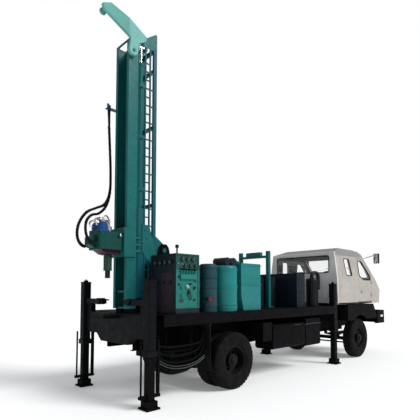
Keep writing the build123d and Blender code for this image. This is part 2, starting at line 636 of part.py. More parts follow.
def mast():
    """The mast: two rear channels with a web, front chords, ladder lacing, the crown and the hose shelf."""
    rear_end = MAST_REAR_X + RAIL_DEPTH
    web_y = MAST_HALF - RAIL_WIDTH
    rails = [block(rear_end - MAST_WALL, rear_end, -web_y, web_y, MAST_BOTTOM, MAST_TOP)]
    for side in SIDES.values():
        outer = mirrored(MAST_REAR_X, rear_end, web_y, MAST_HALF, MAST_BOTTOM, MAST_TOP, side)
        hollow = mirrored(MAST_REAR_X + MAST_WALL, rear_end - MAST_WALL, web_y - 1,
                          MAST_HALF - MAST_WALL, MAST_BOTTOM - 1, MAST_TOP + 1, side)
        rails.append(outer - hollow)
    # the open foot has a sill and a cross-plate behind the web
    for z in (MAST_BOTTOM, MAST_BOTTOM + 290):
        rails.append(block(MAST_REAR_X + 40, rear_end - 1, -web_y - 2, web_y + 2, z, z + 30))
    save("mast_rails", joined(rails))

    cross_bars = []
    chord_in = MAST_HALF - CHORD_WIDTH - SEAT
    for z in (MAST_BOTTOM + 1900, MAST_BOTTOM + 3400, MAST_TOP - 400):
        cross_bars.append(block(MAST_FRONT_X - 60, MAST_FRONT_X - 10, -chord_in, chord_in, z, z + 60))
    shelf_low = HOSE_TOP + 20
    shelf_top = shelf_low + SHELF_WALL
    shelf_in = MAST_HALF + CARRIAGE_CHEEK + 14
    arm_back = LADDER_BACK_X - 62
    arm_front = LADDER_BACK_X + LADDER_BAR
    shelf = block(REAR - 50, arm_front, shelf_in, SHELF_OUT, shelf_low, shelf_top)
    shelf += block(arm_back, arm_front, MAST_HALF + SEAT, SHELF_OUT, shelf_low, shelf_top)
    shelf += block(LADDER_BACK_X - 12, arm_front, MAST_HALF + SEAT, MAST_HALF + 12, shelf_low - 40,
                   shelf_low + 60)
    for route in (HOSE_OUTER, HOSE_INNER):
        shelf += hose_fitting(route[0], route[1], 110)
    save("mast_truss", *[mast_side(side) for side in SIDES.values()], *cross_bars, shelf)

    # crown plates over the top, rising to a point at the front, and a pulley shaft between them
    crown = []
    peak = MAST_TOP + CROWN_RISE
    for side in SIDES.values():
        outline = [(MAST_REAR_X, MAST_TOP + SEAT), (MAST_FRONT_X, MAST_TOP + SEAT), (MAST_FRONT_X, peak),
                   (MAST_FRONT_X - 40, peak), (MAST_REAR_X + 170, MAST_TOP + CROWN_REAR_RISE),
                   (MAST_REAR_X, MAST_TOP + CROWN_REAR_RISE)]
        crown.append(side_plate(outline, MAST_HALF - CROWN_WALL, MAST_HALF, side))
    crown.append(block(MAST_FRONT_X - 40, MAST_FRONT_X - 10, -MAST_HALF + 1, MAST_HALF - 1, MAST_TOP + SEAT,
                       MAST_TOP + 90))
    crown.append(block(MAST_REAR_X, MAST_REAR_X + 30, -MAST_HALF + 1, MAST_HALF - 1, MAST_TOP + SEAT,
                       MAST_TOP + CROWN_REAR_RISE))
    crown.append(rod("y", (MAST_REAR_X + 470, -MAST_HALF + 1, MAST_TOP + 110), 2 * MAST_HALF - 2, 22))
    crown.append(rod("y", (MAST_REAR_X + 470, -20, MAST_TOP + 110), 40, 75))
    pin = cross_pin(JIB_PIVOT_X, JIB_PIVOT_Z, MAST_HALF + SEAT, MAST_HALF + SWING + JIB_THICK + 12, -1,
                    JIB_PIN)
    collar = cross_pin(JIB_PIVOT_X, JIB_PIVOT_Z, MAST_HALF + SEAT, MAST_HALF + SWING - 5, -1, JIB_PIN + 24)
    save("mast_crown", joined(crown), pin + collar)


def pivot_and_lift():
    """The mast's pivot lugs and pins, the gussets that carry them, the lift cylinder and its brackets."""
    plate_in = MAST_HALF + SWING
    plate_out = plate_in + GUSSET_WALL
    lugs = []
    for side in SIDES.values():
        outline = [(MAST_FRONT_X + SEAT, PIVOT_Z - 330), (PIVOT_X + 30, PIVOT_Z - 95),
                   (PIVOT_X + 95, PIVOT_Z - 20), (PIVOT_X + 80, PIVOT_Z + 70),
                   (MAST_FRONT_X + SEAT, PIVOT_Z + 260)]
        lug = side_plate(outline, MAST_HALF - CHORD_WIDTH, MAST_HALF, side)
        # a doubler over the mast's side carries the lug
        outline = [(MAST_FRONT_X - 300, PIVOT_Z + 450), (MAST_FRONT_X - 150, PIVOT_Z + 450),
                   (MAST_FRONT_X + 20, PIVOT_Z - 110), (MAST_FRONT_X + 20, PIVOT_Z - 200),
                   (MAST_FRONT_X - 60, PIVOT_Z - 330), (MAST_FRONT_X - 300, PIVOT_Z - 60)]
        lug += side_plate(outline, MAST_HALF + SEAT, MAST_HALF + DOUBLER, side)
        lug += side_plate([(MAST_FRONT_X + SEAT, PIVOT_Z - 200), (MAST_FRONT_X + 20, PIVOT_Z - 200),
                           (MAST_FRONT_X + 20, PIVOT_Z - 110), (MAST_FRONT_X + SEAT, PIVOT_Z - 110)],
                          MAST_HALF - 2, MAST_HALF + DOUBLER, side)
        lugs.append(lug + cross_pin(PIVOT_X, PIVOT_Z, MAST_HALF - 30, plate_out + 14, side, PIVOT_RADIUS))

    gussets = []
    for side in SIDES.values():
        outline = [(PIVOT_X - 330, DECK_TOP), (PIVOT_X + 420, DECK_TOP), (PIVOT_X + 110, PIVOT_Z + 60),
                   (PIVOT_X + 60, PIVOT_Z + 120), (PIVOT_X - 60, PIVOT_Z + 120),
                   (PIVOT_X - 110, PIVOT_Z + 60)]
        plate = side_plate(outline, plate_in, plate_out, side)
        plate += cross_pin(PIVOT_X, PIVOT_Z, plate_in, plate_out + 14, side, PIVOT_RADIUS + 35)
        plate -= cross_pin(PIVOT_X, PIVOT_Z, plate_in - 20, plate_out + 34, side, PIVOT_RADIUS + RUNNING)
        plate += mirrored(PIVOT_X - 330, PIVOT_X + 420, plate_in, plate_in + 90, DECK_TOP, DECK_TOP + 16,
                          side)
        gussets.append(plate)
        gussets.append(mirrored(MAST_REAR_X + 60, MAST_FRONT_X - 40, 60, MAST_HALF, DECK_TOP,
                                MAST_BOTTOM - SEAT, side))

    tube_length = LIFT_BASE_X - LIFT_RADIUS - LIFT_BARREL_FRONT
    barrel = rod("x", (LIFT_BARREL_FRONT, 0, LIFT_Z), tube_length, LIFT_RADIUS)
    barrel -= rod("x", (LIFT_BARREL_FRONT + LIFT_GLAND, 0, LIFT_Z), tube_length - LIFT_GLAND - 60,
                  LIFT_RADIUS - LIFT_WALL)
    barrel -= rod("x", (LIFT_BARREL_FRONT - 1, 0, LIFT_Z), LIFT_GLAND + 2, LIFT_ROD_RADIUS + RUNNING)
    barrel += rod("x", (LIFT_BARREL_FRONT + 4, 0, LIFT_Z), LIFT_GLAND - 8, LIFT_RADIUS + 14, LIFT_RADIUS - 1)
    eye = rod("y", (LIFT_BASE_X, -38, LIFT_Z), 76, LIFT_EYE + 4)
    eye += block(LIFT_BASE_X - 80, LIFT_BASE_X, -30, 30, LIFT_Z - 45, LIFT_Z + 45)
    save("lift_barrel", barrel + eye - rod("y", (LIFT_BASE_X, -60, LIFT_Z), 120, LIFT_PIN + RUNNING))
    plunger = rod("x", (LIFT_EYE_X + 40, 0, LIFT_Z), LIFT_BASE_X - 560 - LIFT_EYE_X, LIFT_ROD_RADIUS)
    plunger += rod("y", (LIFT_EYE_X, -40, LIFT_Z), 80, LIFT_EYE)
    save("lift_rod", plunger - rod("y", (LIFT_EYE_X, -60, LIFT_Z), 120, LIFT_PIN + 1))

    bracket = rod("y", (LIFT_BASE_X, -74, LIFT_Z), 148, LIFT_PIN)
    for side in SIDES.values():
        outline = [(LIFT_BASE_X - 50, DECK_TOP), (LIFT_BASE_X + 160, DECK_TOP),
                   (LIFT_BASE_X + 60, LIFT_Z + 30), (LIFT_BASE_X, LIFT_Z + 62),
                   (LIFT_BASE_X - 50, LIFT_Z + 30)]
        bracket += side_plate(outline, 44, 66, side)
    save("mast_supports", *gussets, bracket)

    chord_back = MAST_FRONT_X - CHORD_SIZE
    inside = MAST_HALF - CHORD_WIDTH - SEAT
    ears = [block(chord_back, chord_back + 20, -inside, inside, LIFT_Z - 130, LIFT_Z + 130)]
    for side in SIDES.values():
        outline = [(chord_back + 19, LIFT_Z - 110), (LIFT_EYE_X + 20, LIFT_Z - 60), (LIFT_EYE_X + 60, LIFT_Z),
                   (LIFT_EYE_X + 20, LIFT_Z + 60), (chord_back + 19, LIFT_Z + 110)]
        eye = cross_pin(LIFT_EYE_X, LIFT_Z, 47, 77, side, LIFT_PIN + 1)
        ears.append(side_plate(outline, 52, 72, side) - eye)
    save("mast_lugs", joined(ears), *lugs)


def rod_guide():
    """The rod guide on the back of the rear beam, under the head."""
    low = GUIDE_TOP - GUIDE_HEIGHT
    plate = block(SPINDLE_X - GUIDE_REACH, REAR_BEAM_BACK - SEAT, -GUIDE_REACH, GUIDE_REACH, low, GUIDE_TOP)
    save("foot_table", plate - rod("z", (SPINDLE_X, 0, low - 10), GUIDE_HEIGHT + 20, GUIDE_RADIUS))


def feed_cylinder():
    """The long feed cylinder at the mast's right side: the rod hangs from the crown, the barrel travels."""
    bore = FEED_ROD_RADIUS + 6
    barrel = rod("z", (FEED_X, FEED_Y, FEED_BOTTOM), FEED_TOP - FEED_BOTTOM, FEED_RADIUS)
    barrel -= rod("z", (FEED_X, FEED_Y, FEED_BOTTOM + 40), FEED_TOP - FEED_BOTTOM - 40 - FEED_GLAND, bore)
    barrel -= rod("z", (FEED_X, FEED_Y, FEED_TOP - FEED_GLAND - 1), FEED_GLAND + 2, FEED_ROD_RADIUS + RUNNING)
    barrel += rod("z", (FEED_X, FEED_Y, FEED_TOP - 50), 46, FEED_RADIUS + 8, FEED_ROD_RADIUS + RUNNING)
    save("feed_barrel", barrel)
    piston = rod("z", (FEED_X, FEED_Y, FEED_ROD_LOW), FEED_ROD_TOP - FEED_ROD_LOW, FEED_ROD_RADIUS)
    web_front = MAST_REAR_X + RAIL_DEPTH
    seat = block(web_front, FEED_X + 60, FEED_Y - 40, FEED_Y + 40, FEED_ROD_TOP - 1, MAST_TOP - 2)
    save("feed_rod", piston + seat)


def head():
    """The rotary head: carriage in the mast rails, gearbox, motors, swivel, and the turning spindle."""
    back = MAST_REAR_X - CARRIAGE_PLATE
    rear = MAST_REAR_X - SEAT
    inner = MAST_HALF - MAST_WALL - 6
    cheek_out = MAST_HALF + CARRIAGE_CHEEK
    carriage = block(back, rear, -cheek_out, cheek_out, CARRIAGE_BOTTOM, CARRIAGE_TOP)
    gap_y = MAST_HALF - RAIL_WIDTH - 6
    carriage += block(rear - 2, MAST_REAR_X + 90, -gap_y, gap_y, CARRIAGE_BOTTOM + 30, CARRIAGE_TOP - 30)
    cheek_front = MAST_REAR_X + RAIL_DEPTH - 20
    for side in SIDES.values():
        for z in (CARRIAGE_BOTTOM + 40, CARRIAGE_TOP - 160):
            carriage += mirrored(MAST_REAR_X + MAST_WALL + SEAT, MAST_REAR_X + 70, gap_y - 5, inner, z,
                                 z + 120, side)
        carriage += mirrored(back, cheek_front, MAST_HALF + SEAT, cheek_out, CARRIAGE_BOTTOM, CARRIAGE_TOP,
                             side)
        for i in range(3):
            z = CARRIAGE_BOTTOM + 90 + 120 * i
            carriage += mirrored(cheek_front - 1, cheek_front + 110, MAST_HALF + 6, cheek_out, z, z + 40,
                                 side)
    save("head_carriage", carriage)

    # gearbox with a sloping skirt under it down to the spindle's bearing
    box = block(HEAD_REAR_X, back, -HEAD_HALF, HEAD_HALF, GEARBOX_BOTTOM, GEARBOX_TOP)
    box = fillet(box.edges().filter_by(Axis.Z), 50)
    nose = [(HEAD_REAR_X - 130, GEARBOX_BOTTOM + 70), (HEAD_REAR_X - 130, GEARBOX_TOP - 110),
            (HEAD_REAR_X + 60, GEARBOX_TOP - 40), (HEAD_REAR_X + 60, GEARBOX_BOTTOM + 1)]
    box += side_outline(nose, -HEAD_HALF + 135, HEAD_HALF - 135)
    skirt_low = GEARBOX_BOTTOM - 70
    skirt = [(HEAD_REAR_X + 60, GEARBOX_BOTTOM + 1), (SPINDLE_X - 100, skirt_low),
             (SPINDLE_X + 100, skirt_low), (back - 20, GEARBOX_BOTTOM + 1)]
    box += side_outline(skirt, -HEAD_HALF + 60, HEAD_HALF - 60)
    box += rod("z", (SPINDLE_X, 0, skirt_low - 12), 100, 125)
    box -= rod("z", (SPINDLE_X, 0, skirt_low - 20), GEARBOX_BOTTOM + 70 - skirt_low + 20,
               BEARING_RADIUS + RUNNING)
    for side in SIDES.values():
        box += cross_pin(SPINDLE_X + 105, GEARBOX_TOP - 60, HEAD_HALF - 1, HEAD_HALF + 34, side, 30)
    for route in (HOSE_OUTER, HOSE_INNER):
        box += hose_fitting(route[-1], route[-2], 60)
    save("head_gearbox", box)
    motors = []
    for y in (-MOTOR_Y, MOTOR_Y):
        body = rod("z", (MOTOR_X, y, GEARBOX_TOP), MOTOR_HEIGHT - 30, MOTOR_RADIUS)
        body += rod("z", (MOTOR_X, y, GEARBOX_TOP + MOTOR_HEIGHT - 31), 31, MOTOR_RADIUS - 22)
        body += block(MOTOR_X - 90, MOTOR_X + 90, y - 90, y + 90, GEARBOX_TOP, GEARBOX_TOP + 26)
        motors.append(body)
    motors.append(block(MOTOR_X - 34, MOTOR_X + 34, -MOTOR_Y, MOTOR_Y, GEARBOX_TOP + 60, GEARBOX_TOP + 110))
    save("head_motors", joined(motors))
    swivel = rod("z", (SPINDLE_X, 0, GEARBOX_TOP), 110, 62)
    swivel += rod("z", (SPINDLE_X, 0, GEARBOX_TOP + 109), 131, 30)
    swivel += rod("x", (SPINDLE_X - 170, 0, GEARBOX_TOP + 226), 172, 26)
    swivel += rod("x", (SPINDLE_X - 172, 0, GEARBOX_TOP + 226), 34, 38)
    save("head_swivel", swivel)

    bearing_low = skirt_low - 32
    spindle = rod("z", (SPINDLE_X, 0, SPINDLE_BOTTOM), GEARBOX_BOTTOM - SPINDLE_BOTTOM, PIN_RADIUS)
    spindle += rod("z", (SPINDLE_X, 0, SPINDLE_BOTTOM + PIN_LENGTH),
                   bearing_low + 5 - SPINDLE_BOTTOM - PIN_LENGTH, SLEEVE_RADIUS)
    spindle += rod("z", (SPINDLE_X, 0, bearing_low), GEARBOX_BOTTOM + 60 - bearing_low, BEARING_RADIUS)
    spindle -= rod("z", (SPINDLE_X, 0, SPINDLE_BOTTOM - 1), GEARBOX_TOP - SPINDLE_BOTTOM, SPINDLE_BORE)
    save("spindle", spindle)


def jib():
    """The jib: one box arm on the mast's right side, leaning to the drill axis, with a sheave at its tip."""
    inside = MAST_HALF + SWING
    outside = inside + JIB_THICK
    tip_x = JIB_PIVOT_X - JIB_TIP_BACK
    tip_z = JIB_PIVOT_Z + JIB_TIP_UP
    bend_x = JIB_PIVOT_X - 95
    reach_x = JIB_PIVOT_X + 290
    beam = [(tip_x - 34, tip_z - 50), (JIB_PIVOT_X + 45, JIB_PIVOT_Z + 130),
            (reach_x - 25, JIB_PIVOT_Z + 270), (reach_x - 15, JIB_PIVOT_Z + 355),
            (tip_x + 85, tip_z + 82), (tip_x - 54, tip_z + 40)]
    foot = [(JIB_PIVOT_X - JIB_EAR, JIB_PIVOT_Z), (JIB_PIVOT_X + JIB_EAR, JIB_PIVOT_Z),
            (JIB_PIVOT_X + 105, JIB_PIVOT_Z + 200), (JIB_PIVOT_X - 55, JIB_PIVOT_Z + 230)]
    arm = side_outline(beam, -outside, 0) + side_outline(foot, -outside, 0)
    # seen from above the arm runs straight along the mast, then leans inward to the tip
    far_x = tip_x - 100
    lean = (inside - JIB_TIP_Y) / (bend_x - tip_x)
    far_y = JIB_TIP_Y - lean * (tip_x - far_x)
    z = JIB_PIVOT_Z - 200
    plan = make_face(Polyline((far_x, -far_y, z), (bend_x, -inside, z), (reach_x + 100, -inside, z),
                              (reach_x + 100, -outside, z), (bend_x, -outside, z),
                              (far_x, -far_y - JIB_THICK, z), close=True))
    arm &= extrude(plan, amount=JIB_TIP_UP + 800, dir=(0, 0, 1))
    arm += cross_pin(JIB_PIVOT_X, JIB_PIVOT_Z, inside, outside, -1, JIB_EAR)
    arm -= cross_pin(JIB_PIVOT_X, JIB_PIVOT_Z, inside - 10, outside + 10, -1, JIB_PIN + RUNNING)
    sheave_z = tip_z - 45
    arm += cross_pin(tip_x, sheave_z, JIB_TIP_Y - 60, JIB_TIP_Y + JIB_THICK / 2, -1, 16)
    arm += cross_pin(tip_x, sheave_z, JIB_TIP_Y - 50 - SHEAVE_WIDTH, JIB_TIP_Y - 50, -1, SHEAVE_RADIUS)
    save("jib", arm)


def hose_tube(points, radius):
    """A hose of straight runs joined by tangent arcs, each as large as its two runs allow."""
    corners = [Vector(*point) for point in points]
    radii = []
    for before, corner, after in zip(corners, corners[1:], corners[2:]):
        turn = (corner - before).get_angle(after - corner)
        shorter = min((corner - before).length, (after - corner).length)
        radii.append(0.45 * shorter / math.tan(math.radians(turn / 2)))
    path = FilletPolyline(*corners, radius=radii)
    profile = Plane(origin=corners[0], z_dir=corners[1] - corners[0]) * Circle(radius)
    print("hose length", round(path.length), "smallest radius", round(min(radii)))
    return sweep(profile, path=path)


def hoses():
    """The two feed hoses: down the mast's left side from a bracket, looped round the head to its back."""
    save("hose_outer", hose_tube(HOSE_OUTER, HOSE_RADIUS))
    save("hose_inner", hose_tube(HOSE_INNER, HOSE_RADIUS))


def console():
    """The console: a cabinet whose rear and right faces carry framed panels with gauges and levers."""
    body = block(CONSOLE_REAR_X, CONSOLE_FRONT_X, CONSOLE_SIDE_Y, CONSOLE_BACK_Y, DECK_TOP, CONSOLE_TOP)
    # each framed panel is cut back from the cabinet's face: low z, high z
    for low, high in ((PANEL_FOOT, PANEL_SPLIT - PANEL_BORDER), (PANEL_SPLIT, CONSOLE_TOP - PANEL_BORDER)):
        body -= block(CONSOLE_REAR_X - 1, CONSOLE_REAR_X + PANEL_DEPTH, CONSOLE_SIDE_Y + PANEL_BORDER,
                      CONSOLE_BACK_Y - PANEL_BORDER, low, high)
        body -= block(CONSOLE_REAR_X + PANEL_BORDER + PANEL_DEPTH, CONSOLE_FRONT_X - PANEL_BORDER,
                      CONSOLE_SIDE_Y - 1, CONSOLE_SIDE_Y + PANEL_DEPTH, low, high)
    pieces = [body]
    face = CONSOLE_SIDE_Y + PANEL_DEPTH
    # gauges on the upper right panel: distance from the rear face, drop from the top, radius
    for along, drop, radius in ((150, 88, 42), (270, 88, 42), (390, 88, 42),
                                (210, 203, 34), (330, 203, 34), (450, 203, 34)):
        pieces.append(rod("y", (CONSOLE_REAR_X + along, face - 26, CONSOLE_TOP - drop), 27, radius))
    # valve block under them with a row of levers
    valve_top = CONSOLE_TOP - 358
    lever_pitch = 62
    pieces.append(block(CONSOLE_REAR_X + 90, CONSOLE_REAR_X + 450, face - 40, face + 1, valve_top - 80,
                        valve_top))
    for i in range(6):
        x = CONSOLE_REAR_X + 115 + lever_pitch * i
        pieces.append(rod("z", (x, face - 28, valve_top - 1), 50, 8))
        pieces.append(rod("z", (x, face - 28, valve_top + 48), 34, 15))
    # round fittings on the lower right panel: distance from the rear face, drop from the top
    for along, drop in ((140, 578), (300, 578), (140, 718), (300, 718)):
        pieces.append(rod("y", (CONSOLE_REAR_X + along, face - 24, CONSOLE_TOP - drop), 25, 30))
    # on the rear face, from the inner end: distance, drop from the top, how far it stands out, radius
    rear_face = CONSOLE_REAR_X + PANEL_DEPTH
    for along, drop, proud, radius in ((140, 148, 26, 45), (280, 148, 26, 45), (420, 148, 26, 45),
                                       (560, 148, 26, 45), (190, 498, 30, 32), (360, 498, 30, 32),
                                       (530, 498, 30, 32)):
        pieces.append(rod("x", (rear_face - proud, CONSOLE_BACK_Y - along, CONSOLE_TOP - drop), proud + 1,
                          radius))
    # top knob
    knob_x = CONSOLE_REAR_X + 140
    knob_y = CONSOLE_SIDE_Y + 150
    pieces.append(rod("z", (knob_x, knob_y, CONSOLE_TOP - 1), 110, 14))
    pieces.append(rod("z", (knob_x, knob_y, CONSOLE_TOP + 108), 40, 30))
    save("console", joined(pieces))


def deck_units():
    """What stands on the deck: tanks, filters, hoods, cooler, mast rest and air cleaner."""
    tank_top = DECK_TOP + ROUND_TANK_HEIGHT
    tank = rod("z", (ROUND_TANK_X, ROUND_TANK_Y, DECK_TOP), ROUND_TANK_HEIGHT, ROUND_TANK_RADIUS)
    tank = fillet(tank.edges().group_by(Axis.Z)[-1], 60)
    for z in (DECK_TOP + 60, DECK_TOP + 440, tank_top - 110):
        tank += rod("z", (ROUND_TANK_X, ROUND_TANK_Y, z), 40, ROUND_TANK_RADIUS + 7)
    outline = [(BOX_TANK_REAR + 70, DECK_TOP), (BOX_TANK_FRONT, DECK_TOP), (BOX_TANK_FRONT, BOX_TANK_TOP),
               (BOX_TANK_REAR, BOX_TANK_TOP), (BOX_TANK_REAR, DECK_TOP + 300)]
    box_tank = side_outline(outline, -BOX_TANK_OUT, -BOX_TANK_IN)
    lip = 12
    for z in (BOX_TANK_TOP - 50, DECK_TOP + 500):
        box_tank += block(BOX_TANK_REAR - lip, BOX_TANK_FRONT + lip, -BOX_TANK_OUT - lip, -BOX_TANK_IN + lip,
                          z, z + 24)
    box_tank += rod("z", (BOX_TANK_REAR + 300, -BOX_TANK_IN - 200, BOX_TANK_TOP - 1), 36, 80)
    save("deck_tanks", tank, box_tank)

    filter_z = tank_top + FILTER_RADIUS
    filters = []
    for offset in (-85, 85):
        filters.append(rod("y", (ROUND_TANK_X + offset, ROUND_TANK_Y - 160, filter_z), 330, FILTER_RADIUS))
    cylinder_top = DECK_TOP + CYLINDER_HEIGHT
    cylinder = rod("z", (CYLINDER_X, CYLINDER_Y, DECK_TOP), CYLINDER_HEIGHT, CYLINDER_RADIUS)
    cylinder = fillet(cylinder.edges().group_by(Axis.Z)[-1], 50)
    cylinder += rod("z", (CYLINDER_X, CYLINDER_Y, cylinder_top - 240), 26, CYLINDER_RADIUS + 8)
    cylinder += rod("z", (CYLINDER_X, CYLINDER_Y, DECK_TOP + 120), 26, CYLINDER_RADIUS + 8)
    cylinder += rod("y", (CYLINDER_X - 120, CYLINDER_Y - CYLINDER_RADIUS - 10, DECK_TOP + 240), 130, 40)
    cleaner_top = DECK_TOP + CLEANER_HEIGHT
    cleaner = rod("z", (CLEANER_X, CLEANER_Y, DECK_TOP), CLEANER_HEIGHT, CLEANER_RADIUS)
    cleaner = fillet(cleaner.edges().group_by(Axis.Z)[-1], 60)
    cleaner += rod("z", (CLEANER_X, CLEANER_Y, cleaner_top - 200), 30, CLEANER_RADIUS + 10)
    cleaner += rod("z", (CLEANER_X, CLEANER_Y, cleaner_top - 2), 22, 62)
    # a bent pipe from the cleaner's top toward the cab
    pipe_low = cleaner_top + 20 + SEAT
    pipe_end = CLEANER_X + 300
    pipe_high = pipe_low + 125
    path = FilletPolyline((CLEANER_X, CLEANER_Y, pipe_low), (CLEANER_X, CLEANER_Y, pipe_high),
                          (pipe_end, CLEANER_Y, pipe_high), (pipe_end, CLEANER_Y, pipe_low - 300),
                          radius=110)
    pipe = sweep(Plane(origin=(CLEANER_X, CLEANER_Y, pipe_low), z_dir=(0, 0, 1)) * Circle(48), path=path)
    save("air_filters", *filters, cylinder, cleaner, pipe)

    cooler = block(COOLER_REAR_X, COOLER_FRONT_X, -COOLER_OUT, COOLER_IN, DECK_TOP, COOLER_TOP)
    for i in range(7):
        z = DECK_TOP + 120 + 90 * i
        cooler += block(COOLER_REAR_X - 18, COOLER_REAR_X + 1, -COOLER_OUT + 60, COOLER_IN - 60, z, z + 34)
        cooler += block(COOLER_REAR_X + 60, COOLER_FRONT_X - 60, -COOLER_OUT - 14, -COOLER_OUT + 1, z, z + 34)
    outline = [(HOOD_REAR_X, DECK_TOP), (HOOD_FRONT_X, DECK_TOP), (HOOD_FRONT_X, HOOD_TOP),
               (HOOD_REAR_X + 120, HOOD_TOP), (HOOD_REAR_X, HOOD_TOP - 120)]
    hood = side_outline(outline, -HOOD_HALF, HOOD_HALF)
    save("power_box", cooler, hood)

    rest_in = REST_Y - REST_SIZE / 2
    rest_out = REST_Y + REST_SIZE / 2
    rest = []
    for side in SIDES.values():
        rest.append(mirrored(REST_X - REST_SIZE / 2, REST_X + REST_SIZE / 2, rest_in, rest_out, DECK_TOP,
                             REST_TOP, side))
        rest.append(mirrored(REST_X - 90, REST_X + 90, rest_in - 40, rest_out + 50, DECK_TOP, DECK_TOP + 16,
                             side))
    rest.append(block(REST_X - REST_SIZE / 2, REST_X + REST_SIZE / 2, -rest_out, rest_out, REST_BAR_Z,
                      REST_BAR_Z + 55))
    pad_top = PIVOT_Z + PIVOT_X - MAST_FRONT_X - DOUBLER - 6
    rest.append(block(REST_X - REST_SIZE / 2 - 10, REST_X + REST_SIZE / 2 + 10, -MAST_HALF, MAST_HALF,
                      REST_BAR_Z + 54, pad_top))
    save("mast_rest", joined(rest))


def underslung():
    """What hangs under the deck and frame: tanks, boxes, lines, the front fenders and bumper, and lamps."""
    tank_out = HALF_WIDTH - 45
    tank_in = RAIL_OUTER_Y + 210
    # boxes under the deck's right edge: rear station, front station, low z, high z
    boxes = []
    for rear, front, low, high in ((2770, 3060, 800, 1180), (3100, 4300, 600, 1120), (4340, 4950, 560, 1200)):
        piece = block(REAR + rear, REAR + front, -tank_out, -tank_in, low, high)
        if high - low > 400:
            piece = fillet(piece.edges().filter_by(Axis.X), 60)
        for x in (REAR + rear + 80, REAR + front - 140):
            piece += block(x, x + 60, -tank_in - 10, -RAIL_OUTER_Y - SEAT, 860, 980)
        boxes.append(piece)
    # a pressed rail with a pipe along the boxes
    boxes[1] += rod("x", (REAR + 3110, -tank_out - 8, 1070), 1180, 14)
    other = block(REAR + 3300, REAR + 4200, tank_in, tank_out, 660, 1100)
    for x in (REAR + 3400, REAR + 4000):
        other += block(x, x + 60, RAIL_OUTER_Y + SEAT, tank_in + 10, 860, 980)
    save("side_tanks", *boxes, other)

    returns_x = REAR + 8100
    front_x = REAR + 8560
    plate_x = REAR + 8420
    wrap = FENDER_OUT + 10
    bumper = [block(returns_x, front_x, -wrap, wrap, BUMPER_LOW, BUMPER_TOP)]
    bumper[0] -= block(returns_x - 1, plate_x, -wrap + 90, wrap - 90, BUMPER_LOW - 1, BUMPER_TOP + 1)
    for side in SIDES.values():
        bumper.append(mirrored(RAIL_FRONT_X + SEAT, plate_x + 10, RAIL_OUTER_Y - 70, RAIL_OUTER_Y - 6, 860,
                               1000, side))
        outline = [(FENDER_REAR, FENDER_LOW), (FENDER_REAR, FENDER_TOP), (FENDER_FRONT, FENDER_TOP),
                   (returns_x + 20, FENDER_LOW), (FRONT_AXLE_X, FENDER_LOW - 1)]
        fender = side_plate(outline, FENDER_OUT - FENDER_DEPTH, FENDER_OUT, side)
        wheel_arch = cross_pin(FRONT_AXLE_X, TYRE_RADIUS, FENDER_OUT - FENDER_DEPTH - 20, FENDER_OUT + 20,
                               side, ARCH_RADIUS)
        well = mirrored(FENDER_REAR + 20, returns_x + 30, FENDER_OUT - FENDER_DEPTH - 20, FENDER_OUT - 20,
                        FENDER_LOW - 2, FENDER_TOP - 12, side)
        bumper.append(fender - wheel_arch - well)
    save("bumper", joined(bumper))
    lamps = []
    for side in SIDES.values():
        lamps.append(mirrored(front_x + SEAT, front_x + 22, wrap - 360, wrap - 150, 1020, 1180, side))
        lamps.append(mirrored(front_x + SEAT, front_x + 18, wrap - 130, wrap - 30, 1040, 1160, side))
        lamps.append(mirrored(plate_x - 130, plate_x + 20, wrap + SEAT, wrap + 14, 1060, 1120, side))
    save("lamps", *lamps)


def cab_form(inset):
    """The cab's outer form moved in by an inset: its side outline and its front outline together."""
    side = make_face(Polyline((CAB_REAR_X + 40, 0, CAB_BOTTOM), (CAB_REAR_X, 0, BELT_Z - 80),
                              (CAB_REAR_X + 20, 0, SCREEN_TOP_Z), (CAB_REAR_X + 500, 0, SCREEN_TOP_Z + 150),
                              (SCREEN_TOP_X - 230, 0, SCREEN_TOP_Z + 140), (SCREEN_TOP_X, 0, SCREEN_TOP_Z),
                              (SCREEN_FOOT_X, 0, SCREEN_FOOT_Z),
                              (SCREEN_FOOT_X + 290, 0, SCREEN_FOOT_Z - 300),
                              (SCREEN_FOOT_X + 250, 0, CAB_BOTTOM), close=True))
    if inset:
        side = offset(side, amount=-inset, kind=Kind.INTERSECTION)
    body = extrude(side, amount=CAB_HALF - inset, dir=(0, 1, 0), both=True)
    x = CAB_REAR_X - 50
    # the front's outline from its lower corner up to the roof: distance in from the widest place, height
    steps = ((0, CAB_BOTTOM - 10), (0, BELT_Z), (90, SCREEN_TOP_Z + 10), (260, SCREEN_TOP_Z + 155))
    right = [(x, step - CAB_HALF, z) for step, z in steps]
    left = [(x, CAB_HALF - step, z) for step, z in reversed(steps)]
    front = make_face(Polyline(*right, *left, close=True))
    if inset:
        front = offset(front, amount=-inset, kind=Kind.INTERSECTION)
    return body & extrude(front, amount=SCREEN_FOOT_X + 900 - x, dir=(1, 0, 0))


def screen_corner(along, off):
    """A point beside the windscreen: a distance down its slope and a distance off its face."""
    run = SCREEN_FOOT_X - SCREEN_TOP_X
    fall = SCREEN_TOP_Z - SCREEN_FOOT_Z
    length = math.hypot(run, fall)
    return (SCREEN_TOP_X + (along * run + off * fall) / length,
            SCREEN_TOP_Z + (off * run - along * fall) / length)


def mirror_arm(side, radius):
    """The bar that carries a mirror forward from the roof's corner."""
    (x, out, z), (end_x, end_out, end_z) = MIRROR_ROOT, MIRROR_END
    root, end = (x, side * out, z), (end_x, side * end_out, end_z)
    return strut(root, end, math.dist(root, end), radius)


